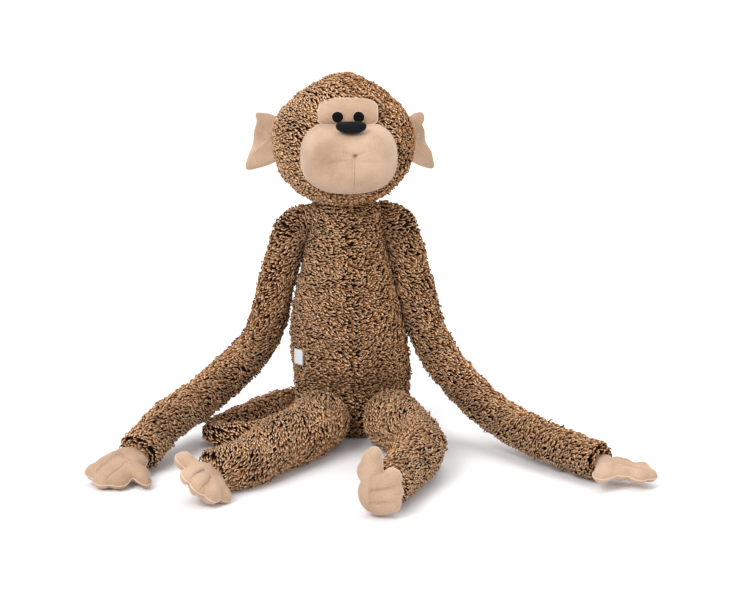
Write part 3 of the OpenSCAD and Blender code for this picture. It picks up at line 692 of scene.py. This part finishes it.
def mitt(body, under, origin, basis, shape, middle, thick, seed):
    """A hand or a foot: two velour sheets sewn together and stuffed, with fingers drawn by stitching."""
    circles, seams, creases = ([np.array(x, float) * MM for x in part] for part in shape)
    middle = np.array(middle) * MM
    edge = rounded_off(reach_of(circles, middle, TURNS), 14)

    def dent(q, lines, width):
        return np.exp(-((to_lines(q, lines) / width) ** 2))

    def height(q, far, side):
        h = thick * swell(far, 17 * MM)
        p3 = np.c_[q, np.full(len(q), side * 0.01)]
        h = h * (1 + 0.06 * field(p3, 0.02, seed) + 0.03 * field(p3, 0.008, seed + 2))
        h = h * (1 - 0.2 * dent(q, seams, 1.3 * MM) - 0.08 * dent(q, seams, 4 * MM))
        h = h * (1 - 0.2 * dent(q, creases, 2.6 * MM))
        turn = np.arctan2(q[:, 1] - middle[1], q[:, 0] - middle[0])
        pucker = 0.35 * MM * np.sin(46 * turn + 3 * side) * np.exp(-far / (2.5 * MM))
        return side * (h + pucker * smoothstep(far, 0, 1 * MM))

    obj, outline, mid = pad(
        body + "_velour", origin, basis, middle, edge, 26,
        lambda q, far: height(q, far, 1), lambda q, far: height(q, far, -1), VELOUR,
    )
    belongs(obj, body, [f"{body}_top", f"{body}_{under}", f"{body}_stuffing"])
    piped = origin + np.c_[outline, mid] @ basis
    piped[:, 2] = np.maximum(piped[:, 2], 1.1 * MM)
    belongs(join_tubes(body + "_velour_seam", [tube(piped, 0.85 * MM, 6, True)], SEAM), body)
    stitches = []
    for side in (1, -1):
        for line in seams:
            q = resampled(line, 0.9 * MM)
            far = np.min([to_segment(q, a, b) for a, b in zip(outline, np.roll(outline, -1, 0))], axis=0)
            h = height(q, far, side) + side * 0.25 * MM
            p = origin + np.c_[q, h] @ basis
            p[:, 2] = np.maximum(p[:, 2], 0.6 * MM)
            stitches.append(tube(p, 0.5 * MM * (1 + 0.25 * np.sin(2.2 * np.arange(len(p)))), 5))
    belongs(join_tubes(body + "_velour_stitches", stitches, SEAM), body)


# each shape, in mm from the wrist: circles (along, across, radius), finger seams, and creases
WRIST = 13
HAND_RIGHT = (
    [
        (0, 0, WRIST), (24, 0, 26), (40, 0, 29), (61, 17, 13), (68, 0, 14), (61, -18, 13),
        (36, 31, 11), (47, 46, 8),
    ],
    [[(75, 10), (56, 11), (30, 10)], [(75, -9), (56, -9), (27, -9)]],
    [[(12, -26), (27, -9), (32, 9), (37, 24)]],
)
HAND_LEFT = (
    [(0, 0, WRIST), (26, 4, 20), (50, 13, 11), (62, 3, 10), (52, -6, 11), (11, 20, 12), (9, 34, 11)],
    [[(66, 9), (50, 9), (24, 10)], [(66, -3), (50, -3), (26, -2)]],
    [[(22, 30), (22, 14), (14, 0), (12, -14)]],
)
FOOT = (
    [
        (0, 0, WRIST), (24, -2, 25), (44, 14, 11), (48, -3, 11), (43, -20, 11), (24, 22, 12),
        (24, 32, 12), (26, -30, 10),
    ],
    [[(57, 9.5), (44, 9), (30, 6)], [(56, -8), (43, -8), (30, -5)]],
    [[(20, 22), (12, 12), (8, 0)]],
)
FOLDED_FOOT = (
    [(22, -3, 25), (36, 18, 11), (38, 2, 11), (36, -13, 11), (10, 22, 15), (12, 36, 12), (15, 44, 8.5)],
    [[(46, 10), (30, 7), (15, 3)], [(46, -7), (30, -9), (15, -12)]],
    [[(24, 27), (16, 20), (14, 3), (14, -16)]],
)
HEEL = np.array([-34, -32, 5.5]) * MM  # from the left ankle to the middle of that foot's heel
HAND_T, FOOT_T = 11 * MM, 13 * MM  # half of each one's thickness

mitt("hand_right", "palm", place["wrist_right_bend"], axes((-0.49, -0.85, -0.2), (0.84, -0.48, -0.14)),
     HAND_RIGHT, (31, 4), HAND_T, 1)
mitt("hand_left", "palm", place["wrist_left_bend"], axes((0.95, -0.28, -0.16), (-0.28, -0.95, -0.12)),
     HAND_LEFT, (31, 4), HAND_T, 2)
mitt("foot_right", "sole", place["ankle_right_bend"], axes((-0.3, -0.94, -0.02), (-0.75, 0.24, 0.6)),
     FOOT, (25, 4), FOOT_T, 3)
mitt("foot_left", "sole", place["ankle_left_bend"] + HEEL, axes((0.94, -0.2, -0.02), (-0.05, 0.06, 1)),
     FOLDED_FOOT, (20, 4), FOOT_T, 4)

# ---- muzzle ----
face_axes = np.array([[1.0, 0, 0], [0, 0, 1.0], [0, -1.0, 0]])
SEAM_X, MOUTH_Y = 8 * MM, 7.5 * MM
mouth_line = [np.array([(x, 1.5 - 0.003 * (x - 8) ** 2) for x in range(-22, 39, 4)], float) * MM]
centre_line = [np.array([(8, 7.5), (7.5, -10), (6, -43)], float) * MM]
vee_lines = [np.array([(8 - side * 12.5, 12), (8 - side * 6, 10), (8, 7.5)]) * MM for side in (1, -1)]


def muzzle_top(q, far):
    angle = np.arctan2(q[:, 1], q[:, 0])
    share = np.hypot(q[:, 0], q[:, 1]) / muzzle_reach(angle)
    h = muzzle_out * np.sqrt(np.maximum(1 - np.minimum(share, 1) ** 3, 0))
    deep = 2.0 * MM * np.exp(-((to_lines(q, centre_line) / (1.6 * MM)) ** 2))
    deep += 1.0 * MM * np.exp(-((to_lines(q, centre_line) / (7 * MM)) ** 2))
    deep += 1.0 * MM * np.exp(-((to_lines(q, mouth_line) / (2.5 * MM)) ** 2))
    deep += 1.4 * MM * np.exp(-((to_lines(q, vee_lines) / (1.5 * MM)) ** 2))
    tuft = np.hypot(q[:, 0] - SEAM_X, q[:, 1] - MOUTH_Y)
    deep += 3.0 * MM * np.exp(-((tuft / (3.5 * MM)) ** 2))
    p3 = np.c_[q, np.zeros(len(q))]
    uneven = 0.8 * MM * field(p3, 0.03, 6) + 0.25 * MM * field(p3, 0.009, 7)
    pucker = 0.4 * MM * np.sin(60 * angle) * np.exp(-far / (3 * MM))
    return h - (deep - uneven - pucker) * smoothstep(h, 0, 12 * MM)


muzzle, outline, mid = pad(
    "muzzle_velour", muzzle_at, face_axes, np.zeros(2),
    rounded_off(muzzle_reach(TURNS), 3), 44,
    muzzle_top, lambda q, far: np.full(len(q), -0.1 * MM), VELOUR,
)
belongs(muzzle, "head", ["muzzle_cover", "muzzle_stuffing"])
rim = muzzle_at + np.c_[outline, np.full(len(outline), 1.2 * MM)] @ face_axes
belongs(join_tubes("muzzle_seam", [tube(rim, 0.9 * MM, 8, True)], SEAM), "head")

# the mouth thread: a tuft; and pale ridges along the centre seam and the mouth seam, painted highlights on
# their folds, the centre one set off to the side the key light falls on
threads, ridges = [], []
for line, aside, thick in ((centre_line[0], -1.1 * MM, 0.5 * MM), (mouth_line[0], 0.0, 0.32 * MM)):
    q = resampled(line, 1.0 * MM)[:-3]
    q[:, 0] += aside
    h = muzzle_top(q, np.full(len(q), 0.03)) + 0.15 * MM
    taper = np.sin(np.linspace(0.15, math.pi - 0.15, len(q)))
    ridges.append(tube(muzzle_at + np.c_[q, h] @ face_axes, thick * taper, 5))
belongs(join_tubes("muzzle_seam_ridges", ridges, SEAM), "head")
for turn in range(7):
    a = math.pi * (0.15 + 0.7 * turn / 6)
    q = np.array([SEAM_X, MOUTH_Y]) + np.array([[0, 0], [3 * MM * math.cos(a), 3 * MM * math.sin(a)]])
    h = muzzle_top(q, np.full(2, 0.03)) + 0.5 * MM
    threads.append(tube(muzzle_at + np.c_[q, h] @ face_axes, [0.6 * MM, 0.25 * MM], 5))
belongs(join_tubes("mouth_threads", threads, THREAD), "head", ["mouth_stitch"])

# ---- brow panel ----
head_outer, _ = through_rings(head_rings, (head_low[2], head_high[2]), 0.0, face_front)
TABLE_T, TABLE_V = np.meshgrid(np.linspace(0.3, 0.95, 90), np.linspace(0.5, 1.0, 121), indexing="ij")
front_skin = head_outer(TABLE_T.ravel(), TABLE_V.ravel())


def face_depth(q):
    """How far the head's front skin lies behind the flat face, at points of the brow panel."""
    x, z = brow_at[0] + q[:, 0], brow_at[2] + q[:, 1]
    out = np.empty(len(q))
    for k in range(len(q)):
        d = (front_skin[:, 0] - x[k]) ** 2 + (front_skin[:, 2] - z[k]) ** 2
        near = np.argpartition(d, 6)[:6]
        w = 1 / (d[near] + 1e-8)
        out[k] = (front_skin[near, 1] @ w) / w.sum()
    return -out


def brow_top(q, far):
    p3 = np.c_[q, np.zeros(len(q))]
    return face_depth(q) + 1.2 * MM + 3.4 * MM * swell(far, 12 * MM) + 0.3 * MM * field(p3, 0.02, 2)


brow, outline, mid = pad(
    "brow_velour", brow_at, face_axes, np.zeros(2), brow_reach(TURNS), 14,
    brow_top, lambda q, far: face_depth(q) - 1.5 * MM, VELOUR,
)
belongs(brow, "head", ["brow_panel"])
rim = brow_at + np.c_[outline, face_depth(outline) + 1.6 * MM] @ face_axes
belongs(join_tubes("brow_seam", [tube(rim, 0.8 * MM, 8, True)], SEAM), "head")


# ---- eyes ----
def eye(node, seed):
    """A satin-stitched disc, its thread running in fine ridges."""
    low, high = corners(node)
    middle = (low + high) / 2
    r = (high[0] - low[0]) / 2

    def top(q, far):
        ridges = 0.16 * MM * np.sin(2 * math.pi * (q[:, 0] + 0.3 * q[:, 1]) / (0.9 * MM) + seed)
        return 2.6 * MM * swell(far, r) + 0.9 * MM + ridges * smoothstep(far, 0, 1 * MM)

    origin = np.array([middle[0], high[1] - 0.8 * MM, middle[2]])
    ring = r * (1 + 0.02 * np.sin(3 * TURNS + seed))
    disc, outline, _ = pad(node + "_disc", origin, face_axes, np.zeros(2), ring, 30, top,
                           lambda q, far: np.full(len(q), -0.5 * MM), EYE)
    belongs(disc, "head", [node])
    line = origin + np.c_[outline * 1.03, np.full(len(outline), 0.9 * MM)] @ face_axes
    belongs(join_tubes(node + "_disc_edge", [tube(line, 0.5 * MM, 6, True)], SEAM), "head")


eye("eye_right", 0.0)
eye("eye_left", 2.0)

# ---- nose ----
nose_low, nose_high = corners("nose")
nose_at = (nose_low + nose_high) / 2
NOSE_W, NOSE_H = (nose_high[0] - nose_low[0]) / 2, (nose_high[2] - nose_low[2]) / 2
nose_edge = np.where(
    np.sin(TURNS) > 0, rounded(TURNS, NOSE_W, NOSE_H * 0.86, 3.4),
    rounded(TURNS, NOSE_W, NOSE_H * 1.08, 1.75),
)
nose_edge = rounded_off(nose_edge, 30)


def nose_height(q, far, side):
    uneven = 0.2 * MM * field(np.c_[q, np.full(len(q), side * 0.02)], 0.008, 3)
    return side * (7.2 * MM * swell(far, 8.5 * MM) + uneven * smoothstep(far, 0, 2 * MM))


NOSE_LEAN = math.radians(30)
nose_axes = axes((1, 0, 0), (0, math.sin(NOSE_LEAN), math.cos(NOSE_LEAN)))
nose, _, _ = pad(
    "nose_velour", nose_at, nose_axes, np.zeros(2), nose_edge, 20,
    lambda q, far: nose_height(q, far, 1), lambda q, far: nose_height(q, far, -1), NOSE,
)
belongs(nose, "head", ["nose"])

# ---- ears ----
# the edge of an ear as (x away from the head, y up), and the folds that meet at its notch
EAR_EDGE = np.array([
    (-8, 26), (6, 31), (18, 32), (20, 28), (19, 20), (21, 8), (22, -6), (25, -20), (29, -36),
    (28, -40), (23, -40), (8, -35), (-6, -28), (-9, -10), (-9, 10),
], float) * MM
EAR_NOTCH = np.array([0.0, 3.0]) * MM
EAR_FOLDS = [np.array([(0, 3), (18, 23)], float) * MM, np.array([(0, 3), (22, -9)], float) * MM]


def edge_reach(outline, middle, angle):
    """Distance from the middle to a closed line, at each angle."""
    ring = np.vstack([outline, outline[:1]])
    share = np.linspace(0, 1, 24)[:-1, None]
    line = np.vstack([mix(a, b, share) for a, b in zip(ring[:-1], ring[1:])]) - middle
    turn = np.arctan2(line[:, 1], line[:, 0])
    order = np.argsort(turn)
    return np.interp(angle, turn[order], np.hypot(line[:, 0], line[:, 1])[order], period=2 * math.pi)


def ear(body, side, sweep, wide):
    """An ear swept back by that many degrees; side is -1 for the right one and 1 for the left."""
    middle = np.array([8.0, -3.0]) * MM
    edge = rounded_off(edge_reach(EAR_EDGE * (wide, 1), middle, TURNS), 5)
    sweep = math.radians(sweep)
    basis = axes((side * math.cos(sweep), math.sin(sweep), 0), (0, 0, 1))
    origin = place[body + "_flop"]

    def cup(q):
        """The ear's middle sheet: hollow between its two folds, its lobes tipped forwards."""
        out = np.clip(q[:, 0] / (30 * MM), 0, 1)
        dx, dy = (q - EAR_NOTCH).T
        way = np.degrees(np.arctan2(dy, dx))
        hollow = smoothstep(way, -42, -26) * (1 - smoothstep(way, 38, 52))
        hollow = hollow * smoothstep(np.hypot(dx, dy), 0, 14 * MM)
        lip = np.exp(-((to_lines(q, EAR_FOLDS) / (3 * MM)) ** 2)) * out
        back = 0.42 * np.maximum(q[:, 1] - 8 * MM, 0)
        return side * (4 * MM * out ** 2 + 2.5 * MM * lip - 9 * MM * hollow - back)

    def half(q, far):
        uneven = 0.3 * MM * field(np.c_[q, np.zeros(len(q))], 0.012, 4)
        return 1.9 * MM * swell(far, 7 * MM) + uneven * smoothstep(far, 0, 2 * MM)

    obj, outline, mid = pad(
        body + "_velour", origin, basis, middle, edge, 26,
        lambda q, far: cup(q) + half(q, far), lambda q, far: cup(q) - half(q, far), VELOUR,
    )
    belongs(obj, body, [body + "_front", body + "_back"])
    line = origin + np.c_[outline, mid] @ basis
    belongs(join_tubes(body + "_velour_seam", [tube(line, 0.6 * MM, 6, True)], SEAM), body)


ear("ear_right", -1, 12, 1.2)
ear("ear_left", 1, 38, 1.0)

# ---- wash label ----
label_low, label_high = corners("wash_label")
label_mid = (label_low + label_high) / 2
LABEL_W, LABEL_L, LABEL_TURN = 17 * MM, 20 * MM, math.radians(-49.5)
across = np.array([math.cos(LABEL_TURN), math.sin(LABEL_TURN), 0.0])
outwards = np.array([math.sin(LABEL_TURN), -math.cos(LABEL_TURN), 0.0])
steps = 44
run = np.linspace(-LABEL_L, LABEL_L, steps)
drop = LABEL_L / 2 - (LABEL_L - np.abs(run))
gap = 0.75 * MM * np.tanh(run / (1.2 * MM))
width = np.linspace(-LABEL_W / 2, LABEL_W / 2, 14)
rows = []
for sheet_side in (0.12 * MM, -0.12 * MM):
    for y, g in zip(drop, gap):
        bow = 0.9 * MM * np.cos(math.pi * width / LABEL_W) - 0.5 * MM * (y / LABEL_L)
        p = label_mid + across * width[:, None] + outwards * (g + bow + sheet_side)[:, None]
        p[:, 2] += y
        rows.append(p)
index = np.arange(steps * len(width)).reshape(steps, len(width))
one = np.stack([index[:-1, :-1], index[:-1, 1:], index[1:, 1:], index[1:, :-1]], -1).reshape(-1, 4)
rim = np.concatenate([index[:-1, 0], index[-1, :-1], index[:0:-1, -1], index[0, :0:-1]])
after = np.roll(rim, -1)
border = np.stack([rim, after, after + index.size, rim + index.size], -1)
label, _ = mesh_object("wash_label_ribbon", np.vstack(rows), [one, one[:, ::-1] + index.size, border], RIBBON)
belongs(label, "torso", ["wash_label"])


# ---- limbs ----
ROOM = 46 * MM  # how far from a joint its limb starts to bend


def rounded_path(joints, room=ROOM):
    """A smooth line through the joints, the distance along it, and where along it each joint lies."""
    pieces, marks = [joints[0][None]], [0]
    s = np.linspace(0, 1, 31)[:, None]
    for before, here, after in zip(joints[:-2], joints[1:-1], joints[2:]):
        a, b = before - here, after - here
        cut = min(room, 0.42 * np.linalg.norm(a), 0.42 * np.linalg.norm(b))
        p, q = here + unit(a) * cut, here + unit(b) * cut
        marks.append(sum(len(x) for x in pieces) + len(s) // 2)
        pieces.append((1 - s) ** 2 * p + 2 * s * (1 - s) * here + s * s * q)
    marks.append(sum(len(x) for x in pieces))
    pieces.append(joints[-1][None])
    line = np.vstack(pieces)
    far = distances(line)
    return line, far, far[marks]


STATIONS, CAP = 400, 13  # rings along a limb, and rings in its round start
CUFF_R = 13 * MM  # the hole at a cuff


def limb_surface(path, radii, end_ball, tip):
    """A tube along a path with a round start, and at its end a ball, a rounded tip, or a drawn-in cuff."""
    line, far, marks = path
    length = far[-1]
    run = np.linspace(0, length, STATIONS)
    centre = np.stack([np.interp(run, far, line[:, k]) for k in range(3)], 1)
    for _ in range(6):
        centre[1:-1] = 0.5 * centre[1:-1] + 0.25 * (centre[:-2] + centre[2:])
    heading = unit(np.gradient(centre, axis=0))
    normal = carried(unit(np.cross(heading[0], [0.0, 0.0, 1.0]) + 1e-9), heading)
    share = np.interp(run, marks, np.arange(len(marks)))
    radius = smooth(share, np.arange(len(marks)), radii) - SKIN
    if tip is not None:
        past = np.clip((run - (length - tip)) / tip, 0, 1)
        radius = radius * np.sqrt(np.maximum(1 - past ** 2, 0.0009))

    def ring(k, forward, r):
        return centre[k] + heading[k] * forward, heading[k], normal[k], r

    def dome(k, way, a):
        return ring(k, way * radius[k] * math.cos(a), radius[k] * max(math.sin(a), 0.02))

    turns = np.linspace(0, math.pi / 2, CAP + 1)[:-1]
    stations = [dome(0, -1, a) for a in turns]
    stations += list(zip(centre, heading, normal, radius))
    if end_ball:
        stations += [dome(-1, 1, a) for a in turns[::-1]]
    elif tip is None:
        for a in np.linspace(0, math.pi / 2, 8)[1:]:
            stations.append(ring(-1, 3 * MM * math.sin(a), CUFF_R + (radius[-1] - CUFF_R) * math.cos(a)))
    c, h, n, r = (np.array(x, float) for x in zip(*stations))
    step = np.hypot(np.linalg.norm(np.diff(c, axis=0), axis=1), np.diff(r))
    knots = np.concatenate([[0], np.cumsum(step)])
    knots = knots / knots[-1]

    def along(t, values):
        return np.stack([np.interp(t, knots, values[:, k]) for k in range(3)], -1)

    def surface(t, v):
        t = np.asarray(t, float)
        hh, nn = unit(along(t, h)), along(t, n)
        nn = unit(nn - (nn * hh).sum(-1, keepdims=True) * hh)
        bb = np.cross(hh, nn)
        a = 2 * math.pi * np.asarray(v, float)[..., None]
        p = along(t, c) + np.interp(t, knots, r)[..., None] * (np.cos(a) * nn + np.sin(a) * bb)
        p[..., 2] = np.maximum(p[..., 2], 1.5 * MM)
        return p

    def at(distance):
        """The surface's t at a distance along the path."""
        return float(np.interp(CAP + (STATIONS - 1) * distance / length, np.arange(len(knots)), knots))

    return surface, at


def bowed(path, pushes):
    """The path with each length between joints pushed aside at its middle, in mm."""
    line, far, marks = path
    run = np.linspace(0, far[-1], 300)
    line = np.stack([np.interp(run, far, line[:, k]) for k in range(3)], 1)
    for k, push in pushes.items():
        s = np.clip((run - marks[k]) / (marks[k + 1] - marks[k]), 0, 1)
        line = line + (np.sin(math.pi * s) ** 2)[:, None] * np.array(push) * MM
    return line, run, marks


def shortened(path, off):
    line, far, marks = path
    keep = far < far[-1] - off
    end = np.array([np.interp(far[-1] - off, far, line[:, k]) for k in range(3)])
    return np.vstack([line[keep], end]), np.append(far[keep], far[-1] - off), marks


def limb(name, joints, path, radii, bodies, nap, end_ball=False, tip=None, stretch=34 * MM, **look):
    """One sewn limb: its backing and pile, cut at the middle of each stiff length; the pieces across each
    joint are carried by no body.
    """
    surface, at = limb_surface(path, radii, end_ball, tip)
    marks = path[2]
    cuts = [0.0] + [at(0.5 * (marks[k] + marks[k + 1])) for k in range(len(bodies))] + [1.0]
    if bodies[0] == "torso":
        cuts[1] = 0.0
    for k, (low, high) in enumerate(zip(cuts[:-1], cuts[1:])):
        if high <= low:
            continue
        rows = max(int((high - low) * 110), 6)
        skin = skin_mesh(f"{name}_backing_{k + 1}", surface, low, high, rows, 40, BACKING,
                         (low == 0.0, k == len(bodies)))
        pile = pile_on(f"{name}_pile_{k + 1}", surface, low, high, None, nap, **look)
        for piece in (skin, pile):
            if k in (0, len(bodies)):
                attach(piece, bodies[0] if k == 0 else bodies[-1])
            else:
                here = joints[k]
                back, on = joints[k - 1] - here, joints[k + 1] - here
                reach = min(stretch, 0.48 * np.linalg.norm(back), 0.48 * np.linalg.norm(on))
                start, end = here + unit(back) * reach, here + unit(on) * reach
                tuple(start)
                tuple(end)
                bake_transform(piece)
        if k < len(bodies):
            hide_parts(f"{bodies[k]}_cover", f"{bodies[k]}_stuffing")


def limb_nap(slant, way=1.0):
    def nap(p, normal, along, around):
        turn = math.radians(slant) + 0.35 * field(p, 0.045, 6)
        return along * np.cos(turn)[:, None] + way * around * np.sin(turn)[:, None]
    return nap


def limb_path(joints, pushes, off):
    return shortened(bowed(rounded_path(joints), pushes), off)


# how each length between joints bows aside, in mm, and the radius at each joint, in mm
ARM_BOW = {"right": {1: (-2, 0, 0), 3: (-3, 0, 5)}, "left": {1: (-1, 0, 0), 3: (-3, 0, -2)}}
ARM_R = {"right": [17.5, 21.5, 23.5, 25, 24.5], "left": [18, 22.5, 24, 23.5, 22.5]}
ARM_ROOT = {"right": (28, 2, 10), "left": (-22, 2, 10)}  # from the shoulder into the torso
LEG_BOW = {"right": {0: (0, -5, -1), 1: (0, -8, -4)}, "left": {}}
LEG_R = {"right": [36, 33, 25], "left": [36, 30.5, 23.5]}
CUFF_GAP = 3 * MM  # how far a cuff stops short of the wrist or ankle

for side, way in (("right", 1.0), ("left", -1.0)):
    joints = [place[f"{j}_{side}_{move}"] for j, move in
              (("shoulder", "raise"), ("elbow", "bend"), ("forearm", "bend"), ("wrist", "bend"))]
    joints = [joints[0] + np.array(ARM_ROOT[side]) * MM] + joints
    limb(f"arm_{side}", joints, limb_path(joints, ARM_BOW[side], CUFF_GAP), np.array(ARM_R[side]) * MM,
         ["torso"] + [f"{part}_{side}" for part in ("upper_arm", "mid_arm", "forearm")], limb_nap(55, way))

for side, way in (("right", -1.0), ("left", 1.0)):
    joints = [place[f"hip_{side}_raise"], place[f"knee_{side}_bend"], place[f"ankle_{side}_bend"]]
    path = limb_path(joints, LEG_BOW[side], CUFF_GAP if side == "right" else 0.0)
    limb(f"leg_{side}", joints, path, np.array(LEG_R[side]) * MM, [f"thigh_{side}", f"shin_{side}"],
         limb_nap(50, way), end_ball=side == "left")

# ---- tail ----
tail_joints = [place["tail_swing"], place["tail_bend"], place["tail_curl"]]
curve = np.array([(-158, -5), (-205, -75), (-160, -95), (-90, -26)], float) * MM
s = np.linspace(0, 1, 60)[:, None]
weights = (1 - s) ** 3, 3 * s * (1 - s) ** 2, 3 * s * s * (1 - s), s ** 3
tip_line = sum(weight * point for weight, point in zip(weights, curve))
tip_line = tip_line - tip_line[0] + tail_joints[2][:2]
tip_line = np.c_[tip_line, np.full(60, tail_joints[2][2])]
straight, far, marks = rounded_path(tail_joints + [tip_line[12]], 36 * MM)
whole = np.vstack([straight[:-1], tip_line[12:]])
far = distances(whole)
marks = np.append(marks[:-1], far[-1])
tail_r = (corners("tail_root_cover")[1][2] - corners("tail_root_cover")[0][2]) / 2
# the tail's pile is lightened by 20 per cent as painted light, against the shade it lies in
limb("tail", tail_joints + [tip_line[16]], (whole, far, marks), [tail_r] * 4,
     ["tail_root", "tail_middle", "tail_tip"], limb_nap(40), tip=16 * MM, stretch=24 * MM,
     length=8 * MM, bright=1.2)

# ---- stage, camera and light ----
floor_rows = []
for y, z in [(-4, 0), (2.2, 0), (2.8, 0.04), (3.3, 0.22), (3.7, 0.6), (3.9, 1.2), (4.0, 3.6)]:
    floor_rows += [(-6, y, z), (6, y, z)]
faces = np.array([(2 * k, 2 * k + 1, 2 * k + 3, 2 * k + 2) for k in range(len(floor_rows) // 2 - 1)])
stage, nodes, links, shader = new_material("studio_paper")
shader.inputs["Base Color"].default_value = (0.93, 0.93, 0.94, 1)
shader.inputs["Roughness"].default_value = 0.9
sweep, _ = mesh_object("studio_sweep", np.array(floor_rows, float), [faces], stage)

camera = bpy.data.cameras.new("camera")
camera.lens, camera.sensor_width = 85, 36
eye_at = bpy.data.objects.new("camera", camera)
bpy.context.scene.collection.objects.link(eye_at)
TARGET, ELEVATION, DISTANCE = np.array([0.030, 0.0, 0.178]), math.radians(14), 2.3
eye_at.location = TARGET + DISTANCE * np.array([0, -math.cos(ELEVATION), math.sin(ELEVATION)])
eye_at.rotation_euler = (math.pi / 2 - ELEVATION, 0, 0)
camera.clip_start, camera.clip_end = 0.01, 50
bpy.context.scene.camera = eye_at


def softbox(name, at, towards, size, power):
    light = bpy.data.lights.new(name, "AREA")
    light.shape, light.energy = "RECTANGLE", power
    light.size, light.size_y = size
    obj = bpy.data.objects.new(name, light)
    bpy.context.scene.collection.objects.link(obj)
    obj.location = at
    w = unit(np.asarray(at, float) - np.asarray(towards, float))
    u = unit(np.cross([0, 0.001, 1], w))
    v = np.cross(w, u)
    obj.rotation_euler = mathutils.Matrix(np.array([u, v, w]).T.tolist()).to_euler()


softbox("key", (-1.3, -1.5, 2.1), (0, 0, 0.15), (1.4, 1.4), 42)
softbox("fill", (1.9, -1.6, 1.2), (0, 0, 0.2), (1.6, 1.6), 16)
softbox("top", (0.1, 0.4, 2.6), (0, 0, 0), (2.4, 2.0), 30)
softbox("backdrop", (0.0, 1.6, 2.8), (0, 3.8, 0.6), (4.0, 1.0), 60)
world = bpy.data.worlds.new("studio")
world.use_nodes = True
world.node_tree.nodes["Background"].inputs["Color"].default_value = (0.95, 0.97, 1.0, 1)
world.node_tree.nodes["Background"].inputs["Strength"].default_value = 0.55
bpy.context.scene.world = world
bpy.context.scene.view_settings.view_transform = "Standard"
